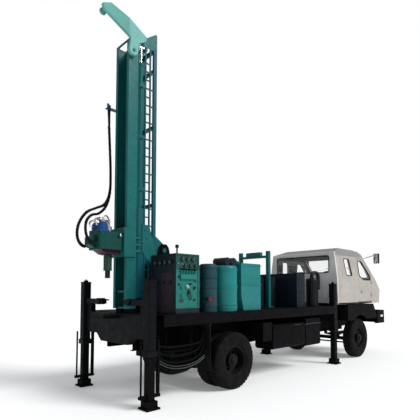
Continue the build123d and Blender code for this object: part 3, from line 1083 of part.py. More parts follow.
def cab():
    """A hollow cab split into floor, roof, rear wall, front, side frames and two doors, with its glass."""
    shell = cab_form(0) - cab_form(CAB_WALL)
    glass_layer = cab_form(GLASS_INSET) - cab_form(GLASS_INSET + GLASS_THICK)

    door_front = DOOR_FRONT_X
    slope_x = SCREEN_TOP_X - 40
    door_line = [(DOOR_REAR_X, CAB_SILL), (door_front, CAB_SILL), (door_front, BELT_Z + 130),
                 (slope_x, DOOR_TOP), (DOOR_REAR_X, DOOR_TOP)]
    gap_line = [(DOOR_REAR_X - DOOR_GAP, CAB_SILL - DOOR_GAP), (door_front + DOOR_GAP, CAB_SILL - DOOR_GAP),
                (door_front + DOOR_GAP, BELT_Z + 133), (slope_x + 2, DOOR_TOP + DOOR_GAP),
                (DOOR_REAR_X - DOOR_GAP, DOOR_TOP + DOOR_GAP)]
    window_line = [(DOOR_REAR_X + 70, BELT_Z + 80), (DOOR_REAR_X + 300, BELT_Z - 30),
                   (door_front - 60, BELT_Z - 30), (door_front - 60, BELT_Z + 80),
                   (slope_x - 60, WINDOW_TOP - 20), (DOOR_REAR_X + 70, WINDOW_TOP - 20)]
    quarter_line = [(CAB_REAR_X + 530, BELT_Z + 70), (CAB_REAR_X + 845, BELT_Z + 70),
                    (CAB_REAR_X + 760, WINDOW_TOP), (CAB_REAR_X + 465, WINDOW_TOP)]
    screen_half = CAB_HALF - 180
    rear_window = block(CAB_REAR_X - 10, CAB_REAR_X + 150, -screen_half + 60, screen_half - 60, BELT_Z + 140,
                        WINDOW_TOP + 70)
    length = math.hypot(SCREEN_TOP_Z - SCREEN_FOOT_Z, SCREEN_FOOT_X - SCREEN_TOP_X)
    corners = [(70, 100), (length - 60, 100), (length - 60, -100), (70, -100)]
    windscreen = side_outline([screen_corner(*corner) for corner in corners], -screen_half, screen_half)

    cut_sides = {}
    for name, side in SIDES.items():
        reach = (CAB_HALF - 200, CAB_HALF + 20, side)
        cut_sides[name] = {"door": side_plate(door_line, *reach), "window": side_plate(window_line, *reach),
                           "quarter": side_plate(quarter_line, *reach),
                           "opening": side_plate(gap_line, *reach)}

    opened = shell - rear_window - windscreen
    for cuts in cut_sides.values():
        opened = opened - cuts["opening"] - cuts["quarter"]
    low, high = 0, SCREEN_TOP_Z + 1000
    behind = CAB_REAR_X - 50
    ahead = SCREEN_FOOT_X + 900
    wide = CAB_HALF + 120
    floor_split = CAB_SILL - 3
    rear_split = CAB_REAR_X + 60
    front_split = door_front + DOOR_GAP
    floor = opened & block(behind, ahead, -wide, wide, low, floor_split)
    roof = opened & block(behind, ahead, -wide, wide, ROOF_BREAK, high)
    middle = opened & block(behind, ahead, -wide, wide, floor_split, ROOF_BREAK)
    rear = middle & block(behind, rear_split, -wide, wide, low, high)
    front = middle & block(front_split, ahead, -wide, wide, low, high)
    sides = middle & block(rear_split, front_split, -wide, wide, low, high)

    plate_out = TILT_BRACKET_OUT - TILT_BRACKET_WALL - TILT_CLEARANCE
    for side in SIDES.values():
        outline = [(TILT_X - 60, CAB_BOTTOM), (TILT_X - 24, TILT_Z - 16), (TILT_X + 24, TILT_Z - 16),
                   (TILT_X + 40, CAB_BOTTOM)]
        floor += side_plate(outline, plate_out - TILT_PLATE_WALL, plate_out, side)
        floor += cross_pin(TILT_X, TILT_Z, plate_out - 22, TILT_BRACKET_OUT + 6, side, TILT_PIN)
    # ribs pressed in the rear wall
    for out in (-680, -340, 0, 340, 680):
        rear += block(CAB_REAR_X - 14, CAB_REAR_X + 42, out - 40, out + 40, CAB_SILL + 110, BELT_Z - 90)
    # dash across the cab with a steering column and wheel
    dash_x = DOOR_FRONT_X + 20
    dash = block(dash_x, SCREEN_FOOT_X + 160, -CAB_HALF + CAB_WALL - 1, CAB_HALF - CAB_WALL + 1, BELT_Z - 230,
                 BELT_Z - 60)
    dash &= cab_form(CAB_WALL - 1)
    column = Pos(dash_x + 20, 520, BELT_Z - 150) * Rot(0, -50, 0)
    dash += column * rod("z", (0, 0, 0), 230, 26)
    dash += column * (rod("z", (0, 0, 216), 26, 190, 164) + Pos(0, 0, 226) * Box(350, 60, 16))
    # visor over the windscreen
    lip = [(SCREEN_TOP_X - 120, SCREEN_TOP_Z + 70), (SCREEN_TOP_X + 140, SCREEN_TOP_Z + 20),
           (SCREEN_TOP_X + 140, SCREEN_TOP_Z + 40), (SCREEN_TOP_X - 120, SCREEN_TOP_Z + 110)]
    visor = side_outline(lip, -screen_half, screen_half)
    save("cab_floor", floor)
    save("cab_roof", roof + visor)
    save("cab_rear_wall", rear)

    frames = []
    panes = [glass_layer & windscreen, glass_layer & rear_window]
    front += dash
    for name, side in SIDES.items():
        half_space = mirrored(behind, ahead, 0, wide, low, high, side)
        frames.append((sides & half_space) + mirror_arm(side, MIRROR_ARM))
        cuts = cut_sides[name]
        door = (shell & cuts["door"]) - cuts["window"]
        hinge_y = side * (CAB_HALF + HINGE_OUT)
        leaf_out = CAB_HALF + HINGE_OUT + 6
        for z in HINGE_Z:
            front += mirrored(HINGE_X, HINGE_X + 50, CAB_HALF - 2, leaf_out, z, z + 40, side)
            front += rod("z", (HINGE_X, hinge_y, z), 40, HINGE_RADIUS)
            door += mirrored(HINGE_X - 50, HINGE_X, CAB_HALF - 2, leaf_out, z + 40 + SEAT, z + 80, side)
            door += rod("z", (HINGE_X, hinge_y, z + 40 + SEAT), 40 - SEAT, HINGE_RADIUS)
        handle_x = DOOR_REAR_X + 120
        door += mirrored(handle_x, handle_x + 160, CAB_HALF + 24, CAB_HALF + 38, CAB_SILL + 270,
                         CAB_SILL + 300, side)
        for x in (handle_x, handle_x + 140):
            door += mirrored(x, x + 20, CAB_HALF - 2, CAB_HALF + 25, CAB_SILL + 270, CAB_SILL + 300, side)
        save(f"door_{name}", door)
        save(f"door_glass_{name}", glass_layer & cuts["window"])
        panes.append(glass_layer & cuts["quarter"])
    save("cab_front", front)
    save("cab_glass", *panes)
    save("cab_sides", *frames)

    seats = []
    seat_x = CAB_REAR_X + 700
    for y in (-560, 560):
        base = block(seat_x, seat_x + 500, y - 240, y + 240, FLOOR_TOP - 70, FLOOR_TOP + 330)
        back = side_outline([(seat_x - 90, FLOOR_TOP + 300), (seat_x + 30, FLOOR_TOP + 300),
                             (seat_x - 30, FLOOR_TOP + 820), (seat_x - 140, FLOOR_TOP + 820)],
                            y - 230, y + 230)
        seats.append(base + back)
    save("seats", *seats)

    mirrors = []
    end_x, end_out, end_z = MIRROR_END
    for side in SIDES.values():
        head = mirrored(end_x - 30, end_x + 30, end_out - MIRROR_WIDTH / 2, end_out + MIRROR_WIDTH / 2,
                        end_z - MIRROR_DROP, end_z + 30, side)
        mirrors.append(head - mirror_arm(side, MIRROR_ARM + RUNNING))
    save("mirrors", *mirrors)


if __name__ == "__main__":
    wheels()
    frame_and_axles()
    steering()
    deck()
    outriggers()
    mast()
    pivot_and_lift()
    rod_guide()
    feed_cylinder()
    head()
    jib()
    hoses()
    console()
    deck_units()
    underslung()
    cab()
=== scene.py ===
# Looks of the truck-mounted water well drilling rig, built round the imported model.
import json
import math

import bmesh
import bpy
from mathutils import Matrix, Vector


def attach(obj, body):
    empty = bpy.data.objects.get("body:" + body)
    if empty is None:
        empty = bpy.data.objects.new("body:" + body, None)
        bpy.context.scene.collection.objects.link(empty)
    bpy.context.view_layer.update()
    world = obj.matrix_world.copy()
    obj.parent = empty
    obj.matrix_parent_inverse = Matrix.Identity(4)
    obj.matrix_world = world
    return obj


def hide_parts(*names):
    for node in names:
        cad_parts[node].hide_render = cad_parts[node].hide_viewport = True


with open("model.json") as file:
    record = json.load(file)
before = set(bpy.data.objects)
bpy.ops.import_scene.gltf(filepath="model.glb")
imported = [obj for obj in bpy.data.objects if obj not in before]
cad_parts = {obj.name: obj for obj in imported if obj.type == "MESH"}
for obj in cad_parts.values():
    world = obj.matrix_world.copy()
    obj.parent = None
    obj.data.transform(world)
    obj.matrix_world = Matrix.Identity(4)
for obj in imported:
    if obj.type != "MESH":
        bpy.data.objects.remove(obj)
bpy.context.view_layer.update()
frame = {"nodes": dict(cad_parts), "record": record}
NODES = frame["nodes"]

# Stations are metres forward from the rear outriggers, as REAR + n
REAR = -4.065
SIDES = {"left": 1, "right": -1}
OUTWARD = {1: "y", -1: "-y"}

# Camera, found by fitting the wheels, outriggers, cab and deck edges in the photograph
CAMERA_PLACE = (REAR - 3.721, -6.339, 1.845)
CAMERA_YAW = math.radians(46.235)
CAMERA_PITCH = math.radians(3.473)
FOCAL_PIXELS = 401.344
HORIZON_SHIFT = 56.05
FRAME_PIXELS = 420
SENSOR_WIDTH = 36

# Feed hoses
HOSE_RADIUS = 0.015
HOSE_TOP = 5.235
GUARD_RADIUS = 0.024
GUARD_RIB = 0.002
GUARD_TOP = 4.95
GUARD_END_STEPS = 4
HOSE_OUTER = [(REAR - 0.022, 0.285, HOSE_TOP), (REAR + 0.008, 0.296, 4.880), (REAR + 0.036, 0.302, 4.470),
              (REAR + 0.054, 0.298, 4.050), (REAR + 0.044, 0.296, 3.690), (REAR - 0.050, 0.276, 3.440),
              (REAR - 0.250, 0.242, 3.330), (REAR - 0.470, 0.200, 3.210), (REAR - 0.620, 0.166, 2.990),
              (REAR - 0.652, 0.144, 2.770), (REAR - 0.585, 0.124, 2.620), (REAR - 0.440, 0.110, 2.585)]
HOSE_INNER = [(REAR + 0.036, 0.330, HOSE_TOP), (REAR + 0.030, 0.325, 4.860), (REAR + 0.056, 0.330, 4.440),
              (REAR + 0.072, 0.327, 4.010), (REAR + 0.062, 0.328, 3.650), (REAR - 0.030, 0.308, 3.390),
              (REAR - 0.190, 0.262, 3.240), (REAR - 0.390, 0.150, 3.170), (REAR - 0.550, 0.020, 3.030),
              (REAR - 0.600, -0.060, 2.840), (REAR - 0.560, -0.098, 2.690), (REAR - 0.440, -0.110, 2.655)]

# Wheels: the sizes of the solids that the treaded tyres replace
TYRE_RADIUS = 0.530
TYRE_HALF = 0.138
RIM_RADIUS = 0.268
REAR_AXLE_X = REAR + 1.890
FRONT_AXLE_X = REAR + 7.060
REAR_TYRE_Y = 1.060
REAR_INNER_Y = 0.740
FRONT_TYRE_Y = 0.962
TREAD_STEPS = 160
BLOCK_STEPS = 4
GROOVE_DEPTH = 0.012
NUTS_PER_WHEEL = 10
NUT_RING = 0.092
FRONT_HUB_OUT = 0.115
REAR_HUB_Y = 1.110

# Mast, head and deck places that small pieces sit on
MAST_REAR_X = REAR + 0.100
MAST_HALF = 0.220
MAST_BOTTOM = 1.520
MAST_TOP = 6.430
LADDER_BACK_X = REAR + 0.462
DECK_TOP = 1.450
DECK_EDGE = 0.190
HALF_WIDTH = 1.175
SPINDLE_X = REAR - 0.145
SPINDLE_RING = 0.0725
GEARBOX_TOP = 2.860
HEAD_HALF = 0.205
LEG_Y = 1.085
LEG_STATIONS = {"rear": REAR, "front": REAR + 5.660}
SLEEVE_HALF = 0.075
SLEEVE_TOP = 2.012
SLEEVE_BOLTS = {"rear": (0.855, 1.10, 1.36, 1.62, 1.90), "front": (1.10, 1.36, 1.62, 1.90)}
MOTOR_X = REAR - 0.318
MOTOR_Y = 0.105
TANK_PLACE = (REAR + 1.940, -0.850)
FLAP_FACE_X = REAR + 1.228

# Console on the deck
CONSOLE_REAR_X = REAR + 0.550
CONSOLE_FRONT_X = REAR + 1.080
CONSOLE_SIDE_Y = -1.050
CONSOLE_BACK_Y = -0.330
CONSOLE_TOP = 2.478
PANEL_DEPTH = 0.014
PANEL_SPLIT = 2.200
PANEL_FOOT = 1.560
GAUGE_RISE = 0.026
SCREW_INSET = 0.011
SCREW_HEIGHTS = (1.60, 1.80, 2.00, 2.16, 2.30, 2.44)
SCREW = [(-0.001, 0.007), (0.003, 0.007), (0.005, 0.004)]

# Cab
CAB_REAR_X = REAR + 5.900
CAB_HALF = 1.080
BELT_Z = 2.180
SCREEN_TOP = (REAR + 7.480, 2.860)
SCREEN_FOOT = (REAR + 8.150, 2.180)
DOOR_REAR_X = REAR + 7.090
DOOR_FRONT_X = REAR + 7.890
CAB_SILL = 1.530
WINDOW_TOP = 2.700
DRIP_Z = 2.795
LAMP_X = REAR + 8.580
LAMP_Z = 1.100
SCREEN_LENGTH = math.dist(SCREEN_TOP, SCREEN_FOOT)
SEAT_CHANNELS = (-0.12, 0.0, 0.12)

# How finely curved pieces and surface noise are made
CURVE_STEPS = 8
CUSHION_CUTS = 22
NOISE_ROUGHNESS = 0.55
BEAD_SIDES = 8
BEND_STEPS = 4

# Studio
FLOOR_SIZE = 240
FLOOR_GLOW = 0.16
SKY_STRENGTH = 0.42
SUN_POWER = 2.6
SUN_SPREAD = math.radians(25)
SUN_WAY = (-0.30, 0.72, -0.62)


def make_camera():
    data = bpy.data.cameras.new("camera")
    camera = bpy.data.objects.new("camera", data)
    bpy.context.scene.collection.objects.link(camera)
    ahead = Vector((math.cos(CAMERA_YAW) * math.cos(CAMERA_PITCH),
                    math.sin(CAMERA_YAW) * math.cos(CAMERA_PITCH), math.sin(CAMERA_PITCH)))
    camera.location = CAMERA_PLACE
    camera.rotation_mode = "QUATERNION"
    camera.rotation_quaternion = ahead.to_track_quat("-Z", "Y")
    data.sensor_width = SENSOR_WIDTH
    data.lens = FOCAL_PIXELS / FRAME_PIXELS * SENSOR_WIDTH
    data.shift_y = HORIZON_SHIFT / FRAME_PIXELS
    bpy.context.scene.camera = camera


# Materials

class Nodes:
    """Short ways to add and join shader nodes in one material."""

    def __init__(self, name):
        self.material = bpy.data.materials.new(name)
        self.material.use_nodes = True
        self.tree = self.material.node_tree
        self.shader = self.tree.nodes["Principled BSDF"]
        self.place = self.tree.nodes.new("ShaderNodeTexCoord").outputs["Object"]

    def add(self, kind, **values):
        node = self.tree.nodes.new(kind)
        for key, value in values.items():
            setattr(node, key, value)
        return node

    def join(self, source, target):
        self.tree.links.new(source, target)

    def noise(self, scale, detail=3, stretch=(1, 1, 1)):
        mapping = self.add("ShaderNodeMapping")
        mapping.inputs["Scale"].default_value = stretch
        self.join(self.place, mapping.inputs["Vector"])
        node = self.add("ShaderNodeTexNoise")
        node.inputs["Scale"].default_value = scale
        node.inputs["Detail"].default_value = detail
        node.inputs["Roughness"].default_value = NOISE_ROUGHNESS
        self.join(mapping.outputs[0], node.inputs["Vector"])
        return node.outputs["Fac"]

    def ramp(self, fac, low, high, first=0.0, last=1.0):
        node = self.add("ShaderNodeMapRange")
        node.inputs["From Min"].default_value = low
        node.inputs["From Max"].default_value = high
        node.inputs["To Min"].default_value = first
        node.inputs["To Max"].default_value = last
        self.join(fac, node.inputs["Value"])
        return node.outputs["Result"]

    def maths(self, operation, a, b):
        node = self.add("ShaderNodeMath", operation=operation)
        for socket, value in zip(node.inputs, (a, b)):
            if isinstance(value, (int, float)):
                socket.default_value = value
            else:
                self.join(value, socket)
        return node.outputs[0]

    def mix(self, fac, a, b, blend="MIX"):
        node = self.add("ShaderNodeMix", data_type="RGBA", blend_type=blend)
        for socket, value in ((node.inputs[0], fac), (node.inputs[6], a), (node.inputs[7], b)):
            if isinstance(value, (int, float)):
                socket.default_value = value
            elif isinstance(value, tuple):
                socket.default_value = (*value, 1)
            else:
                self.join(value, socket)
        return node.outputs[2]

    def axis(self, name):
        node = self.add("ShaderNodeSeparateXYZ")
        self.join(self.place, node.inputs[0])
        return node.outputs[name]

    def inside(self, name, low, high):
        """1 where the surface lies between two places on an axis, and 0 elsewhere."""
        place = self.axis(name)
        return self.maths("MULTIPLY", self.maths("GREATER_THAN", place, low),
                          self.maths("LESS_THAN", place, high))

    def within(self, **ranges):
        """1 inside a box, given as X=(low, high) and so on."""
        result = 1.0
        for name, (low, high) in ranges.items():
            result = self.maths("MULTIPLY", result, self.inside(name, low, high))
        return result

    def bump(self, value, strength, distance):
        node = self.add("ShaderNodeBump")
        node.inputs["Strength"].default_value = strength
        node.inputs["Distance"].default_value = distance
        self.join(value, node.inputs["Height"])
        self.join(node.outputs["Normal"], self.shader.inputs["Normal"])


def paint(name, colour, dust=0.25, roughness=0.38, wear=0.2, dust_colour=(0.20, 0.18, 0.15), coat=0.02,
          gloss=0.12, areas=()):
    """Machine paint: slight mottling, dust that gathers low down, edges worn lighter, faint orange peel.

    areas lists other colours on the same pieces, each with the box that it fills.
    """
    n = Nodes(name)
    base = colour
    for other, ranges in areas:
        base = n.mix(n.within(**ranges), base, other)
    shade = n.ramp(n.noise(2.2, 4), 0.35, 0.7, 0.90, 1.08)
    tone = n.add("ShaderNodeCombineColor")
    for socket in tone.inputs[:3]:
        n.join(shade, socket)
    mottled = n.mix(1.0, base, tone.outputs[0], "MULTIPLY")
    streaks = n.ramp(n.noise(5, 5, stretch=(1, 1, 0.12)), 0.50, 0.75)
    low_down = n.ramp(n.axis("Z"), 0.2, 2.2, 1.0, 0.15)
    amount = n.maths("MULTIPLY", n.maths("MULTIPLY", streaks, low_down), dust)
    dusty = n.mix(amount, mottled, dust_colour)
    edge = n.add("ShaderNodeNewGeometry").outputs["Pointiness"]
    worn = n.maths("MULTIPLY", n.ramp(edge, 0.53, 0.62), n.ramp(n.noise(30, 2), 0.45, 0.65))
    worn = n.maths("MULTIPLY", worn, wear)
    n.join(n.mix(worn, dusty, tuple(min(1, c * 1.5 + 0.03) for c in colour)), n.shader.inputs["Base Color"])
    rough = n.ramp(n.noise(9), 0.3, 0.7, roughness * 0.8, min(1, roughness * 1.35))
    n.join(rough, n.shader.inputs["Roughness"])
    n.shader.inputs["Specular IOR Level"].default_value = gloss
    n.shader.inputs["Coat Weight"].default_value = coat
    n.shader.inputs["Coat Roughness"].default_value = 0.2
    n.bump(n.noise(260, 2), 0.04, 0.0004)
    return n.material


def metal(name, colour, roughness):
    """Bare or plated metal, slightly uneven in shade and gloss."""
    n = Nodes(name)
    shade = n.mix(n.noise(60), tuple(c * 0.75 for c in colour), colour)
    n.join(shade, n.shader.inputs["Base Color"])
    n.shader.inputs["Metallic"].default_value = 1.0
    n.join(n.ramp(n.noise(40), 0.3, 0.7, roughness * 0.7, roughness * 1.4),
           n.shader.inputs["Roughness"])
    n.bump(n.noise(300, 2), 0.08, 0.0003)
    return n.material


def rubber(name, colour, dust):
    """Black rubber, greyed by dust in patches."""
    n = Nodes(name)
    amount = n.maths("MULTIPLY", n.ramp(n.noise(7, 5), 0.42, 0.7), dust)
    n.join(n.mix(amount, colour, (0.11, 0.10, 0.09)), n.shader.inputs["Base Color"])
    n.join(n.ramp(n.noise(20), 0.3, 0.7, 0.62, 0.85), n.shader.inputs["Roughness"])
    n.shader.inputs["Specular IOR Level"].default_value = 0.06
    n.bump(n.noise(180), 0.12, 0.0006)
    return n.material


def glass(name, colour=(0.86, 0.90, 0.90), alpha=0.05):
    """Window glass with a thin film of dust."""
    n = Nodes(name)
    film = n.ramp(n.noise(3, 4), 0.4, 0.75, 0, 0.15)
    n.join(n.mix(film, colour, (0.55, 0.53, 0.5)), n.shader.inputs["Base Color"])
    n.join(n.ramp(n.noise(14), 0.3, 0.7, 0.03, 0.10), n.shader.inputs["Roughness"])
    n.shader.inputs["Alpha"].default_value = alpha
    n.shader.inputs["Specular IOR Level"].default_value = 0.4
    return n.material


def vinyl(name, colour):
    """Seat vinyl with a fine grain."""
    n = Nodes(name)
    n.join(n.mix(n.noise(12), tuple(c * 0.7 for c in colour), colour), n.shader.inputs["Base Color"])
    n.join(n.ramp(n.noise(50, 2), 0.3, 0.7, 0.45, 0.65), n.shader.inputs["Roughness"])
    n.bump(n.noise(700, 2), 0.3, 0.0006)
    return n.material


TEAL = (0.006, 0.106, 0.104)
TANK_TEAL = (0.010, 0.170, 0.168)
PANEL_TEAL = (0.010, 0.155, 0.132)
DARK_GREEN = (0.012, 0.070, 0.058)
NAVY = (0.006, 0.013, 0.021)
BLACK = (0.0032, 0.0032, 0.0040)
PLUM = (0.030, 0.014, 0.030)
RED = (0.12, 0.012, 0.022)
CREAM = (0.400, 0.372, 0.340)
ROOF_GREY = (0.235, 0.235, 0.235)
# painted light: the rear wall gets a lighter grey than the cab's cream, so that its shaded face looks lit
REAR_WALL_PAINTED_LIGHT = (0.60, 0.60, 0.60)
# painted shade: dark grey on the inside faces of the cab shell, where shade falls inside the cab
CAB_INSIDE_PAINTED_SHADE = (0.045, 0.045, 0.050)
PANEL_FRONT = CONSOLE_SIDE_Y + PANEL_DEPTH + 0.001
INSIDE_SHADE_X = CAB_REAR_X + 0.065
CAB_AREAS = (
    (ROOF_GREY, {"Z": (2.80, 4.0)}),
    # painted light: the shaded rear wall, made lighter than the cab's cream
    (REAR_WALL_PAINTED_LIGHT, {"X": (CAB_REAR_X - 0.1, CAB_REAR_X + 0.064), "Z": (1.4, 2.9)}),
    # painted shade: the inside faces of the cab shell darkened, below the belt, round the windows and under
    # the roof
    (CAB_INSIDE_PAINTED_SHADE, {"X": (INSIDE_SHADE_X, REAR + 8.05), "Y": (-1.048, 1.048), "Z": (1.40, BELT_Z)}),
    (CAB_INSIDE_PAINTED_SHADE, {"X": (INSIDE_SHADE_X, REAR + 7.60), "Y": (-1.000, 1.000), "Z": (BELT_Z, 2.62)}),
    (CAB_INSIDE_PAINTED_SHADE, {"X": (INSIDE_SHADE_X, REAR + 7.42), "Y": (-0.955, 0.955), "Z": (2.62, 2.84)}),
)

MATERIALS = {
    "tyre": rubber("tyre_rubber", (0.0045, 0.0045, 0.005), dust=0.06),
    "wheel_steel": paint("wheel_paint", (0.007, 0.007, 0.008), dust=0.09, roughness=0.5, coat=0.0, gloss=0.1),
    "chassis_black": paint("chassis_paint", BLACK, dust=0.010, roughness=0.5, coat=0.0, gloss=0.03,
                           wear=0.1),
    "mast_teal": paint("mast_paint", TEAL, dust=0.08, roughness=0.34),
    "jib_teal": paint("jib_paint", (0.115, 0.345, 0.310), dust=0.1, roughness=0.36),
    "chrome": metal("chrome", (0.86, 0.87, 0.90), 0.10),
    "motor_blue": paint("motor_paint", (0.016, 0.060, 0.210), dust=0.05, roughness=0.33),
    "bare_steel": metal("bare_steel", (0.60, 0.60, 0.62), 0.32),
    "power_navy": paint("hood_paint", NAVY, dust=0.06, roughness=0.45, coat=0.03, gloss=0.15),
    "cab_white": paint("cab_paint", CREAM, dust=0.15, roughness=0.30,
                       dust_colour=(0.42, 0.36, 0.31), areas=CAB_AREAS),
    "glass": glass("window_glass"),
    "seat_vinyl": vinyl("seat_vinyl", (0.030, 0.030, 0.033)),
    "hose_rubber": rubber("hose_rubber", (0.006, 0.006, 0.007), dust=0.07),
    "lamp_glass": glass("lamp_glass", (0.85, 0.86, 0.84), 0.75),
}

# Paints of nodes and pieces that differ from the rest of their slot
TANK_PAINT = paint("tank_paint", TANK_TEAL, dust=0.08, roughness=0.30, coat=0.08, gloss=0.2)
FILTER_PAINT = paint("filter_paint", (0.010, 0.048, 0.062), dust=0.08, roughness=0.4, gloss=0.2, areas=(
    ((0.020, 0.030, 0.020), {"X": (REAR + 1.7, REAR + 2.2), "Z": (2.33, 2.6)}),
    (BLACK, {"X": (REAR + 4.9, REAR + 5.7)}),
    (RED, {"X": (REAR + 1.2, REAR + 1.5), "Y": (-1.2, -1.048), "Z": (1.64, 1.74)}),
))
CONSOLE_PAINT = paint("console_paint", NAVY, dust=0.06, roughness=0.40, coat=0.03, gloss=0.2, areas=(
    (PLUM, {"X": (CONSOLE_REAR_X - 0.01, CONSOLE_REAR_X + 0.03), "Y": (-0.90, -0.62), "Z": (1.45, 2.15)}),
    (DARK_GREEN, {"X": (CONSOLE_REAR_X + 0.001, REAR + 1.2), "Y": (-1.2, PANEL_FRONT), "Z": (2.0, 2.6)}),
    (PANEL_TEAL, {"X": (CONSOLE_REAR_X + 0.001, REAR + 1.2), "Y": (-1.2, PANEL_FRONT),
                  "Z": (PANEL_FOOT - 0.02, PANEL_SPLIT - 0.01)}),
))
SLEEVE_PAINT = paint("sleeve_paint", (0.0048, 0.0055, 0.0070), dust=0.015, roughness=0.45, coat=0.0,
                     gloss=0.05)
TRUSS_PAINT = paint("truss_paint", (0.007, 0.078, 0.098), dust=0.08, roughness=0.34)
SPINDLE_PAINT = paint("spindle_paint", (0.010, 0.040, 0.032), dust=0.1, roughness=0.4, gloss=0.3, areas=(
    (BLACK, {"Z": (2.0, 2.19)}),))
HEAD_PAINT = paint("head_paint", (0.004, 0.050, 0.043), dust=0.08, roughness=0.38, areas=(
    (PLUM, {"X": (REAR - 1.0, REAR + 0.03), "Z": (2.2, 2.56)}),))
GAUGE_FACE = paint("gauge_face", (0.030, 0.052, 0.045), dust=0.05, roughness=0.3, wear=0.0)
DARK_STEEL = metal("dark_steel", (0.070, 0.080, 0.078), 0.42)
MIRROR_FACE = metal("mirror_face", (0.80, 0.82, 0.84), 0.05)
NODE_PAINTS = {
    "deck_tanks": TANK_PAINT,
    "air_filters": FILTER_PAINT,
    "console": CONSOLE_PAINT,
    "outrigger_frames": SLEEVE_PAINT,
    "head_gearbox": HEAD_PAINT,
    "mast_truss": TRUSS_PAINT,
    "spindle": SPINDLE_PAINT,
}


def give(piece, slot, body, replaces=(), material=None):
    """Finishes a new piece: its material, which is its slot's unless another is given, and the body that
    carries it; the parts it replaces are hidden.
    """
    piece.data.materials.clear()
    piece.data.materials.append(material or MATERIALS[slot])
    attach(piece, body)
    if replaces:
        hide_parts(*replaces)
    return piece


def new_mesh(name, bm, smooth=True):
    data = bpy.data.meshes.new(name)
    bmesh.ops.recalc_face_normals(bm, faces=bm.faces)
    bm.to_mesh(data)
    bm.free()
    piece = bpy.data.objects.new(name, data)
    bpy.context.scene.collection.objects.link(piece)
    if smooth:
        data.shade_smooth()
        data.set_sharp_from_angle(angle=math.radians(35))
    return piece


AXES = {"x": Matrix.Rotation(math.pi / 2, 4, "Y"), "-x": Matrix.Rotation(-math.pi / 2, 4, "Y"),
        "y": Matrix.Rotation(-math.pi / 2, 4, "X"), "-y": Matrix.Rotation(math.pi / 2, 4, "X"),
        "z": Matrix.Identity(4)}


def lathe(bm, place, axis, outline, steps):
    """Revolves an outline of (distance along the axis, radius) points, and closes its ends."""
    turn = Matrix.Translation(place) @ (AXES[axis] if isinstance(axis, str) else axis)
    rings = []
    for along, radius in outline:
        ring = []
        for i in range(steps):
            angle = math.tau * i / steps
            point = turn @ Vector((radius * math.cos(angle), radius * math.sin(angle), along))
            ring.append(bm.verts.new(point))
        rings.append(ring)
    for a, b in zip(rings, rings[1:]):
        for i in range(steps):
            j = (i + 1) % steps
            bm.faces.new((a[i], a[j], b[j], b[i]))
    bm.faces.new(rings[0])
    bm.faces.new(rings[-1])


def band(bm, place, axis, radius, edge, width, steps):
    """A raised band round a pipe or tank; edge is how far its two rims fall to the surface."""
    low = radius - edge
    lathe(bm, place, axis, [(0, low), (0.002, radius), (width, radius), (width + 0.002, low)], steps)


def bolt(bm, place, axis, size):
    """A hexagon bolt head with its washer, sunk a little in what it holds."""
    washer = size * 0.22
    lathe(bm, place, axis, [(-0.002, size * 1.25), (washer, size * 1.25), (washer, size * 1.15)], 14)
    lathe(bm, place, axis, [(0, size * 0.9), (size * 0.8, size * 0.9), (size * 0.95, size * 0.7)], 6)


def edges_of(made):
    """The edges of newly made corners, each listed once."""
    return list(dict.fromkeys(edge for vert in made["verts"] for edge in vert.link_edges))


def box(bm, low, high, bevel=0.003, segments=2):
    """A block between two corners, its edges rounded."""
    low, high = Vector(low), Vector(high)
    middle = Matrix.Translation((low + high) / 2) @ Matrix.Diagonal((*(high - low), 1))
    made = bmesh.ops.create_cube(bm, size=1, matrix=middle)
    bmesh.ops.bevel(bm, geom=edges_of(made), offset=bevel, segments=segments, affect="EDGES", profile=0.6)


def side_box(bm, side, x, out, z, bevel):
    """A rounded block on one side of the truck; x, out and z are pairs."""
    ys = sorted((side * out[0], side * out[1]))
    box(bm, (x[0], ys[0], z[0]), (x[1], ys[1], z[1]), bevel)


def curve_points(points):
    """A smooth line through a few points, each stretch divided evenly."""
    points = [Vector(p) for p in points]
    padded = [2 * points[0] - points[1], *points, 2 * points[-1] - points[-2]]
    line = []
    for a, b, c, d in zip(padded, padded[1:], padded[2:], padded[3:]):
        for i in range(CURVE_STEPS):
            t = i / CURVE_STEPS
            line.append(0.5 * (2 * b + (c - a) * t + (2 * a - 5 * b + 4 * c - d) * t ** 2
                               + (3 * b - a - 3 * c + d) * t ** 3))
    return line + [points[-1]]


def pipe(bm, points, radius, sides=10):
    """A fixed pipe along a smooth line through the points."""
    line = curve_points(points)
    rings = []
    ahead = (line[1] - line[0]).normalized()
    across = ahead.orthogonal().normalized()
    for i, point in enumerate(line):
        before, after = line[max(i - 1, 0)], line[min(i + 1, len(line) - 1)]
        ahead = (after - before).normalized()
        across = (across - ahead * across.dot(ahead)).normalized()
        up = ahead.cross(across)
        ring = []
        for k in range(sides):
            angle = math.tau * k / sides
            ring.append(bm.verts.new(point + (across * math.cos(angle) + up * math.sin(angle)) * radius))
        rings.append(ring)
    for a, b in zip(rings, rings[1:]):
        for k in range(sides):
            m = (k + 1) % sides
            bm.faces.new((a[k], a[m], b[m], b[k]))
    bm.faces.new(rings[0])
    bm.faces.new(rings[-1])


def dress_nodes():
    """Every node of the model takes its own paint or the material of its slot in the record."""
    for entry in frame["record"]["subparts"]:
        node = NODES[entry["node"]]
        material = NODE_PAINTS.get(entry["node"], MATERIALS[entry["material_slot"]])
        if node.material_slots:
            for slot in node.material_slots:
                slot.material = material
        else:
            node.data.materials.append(material)


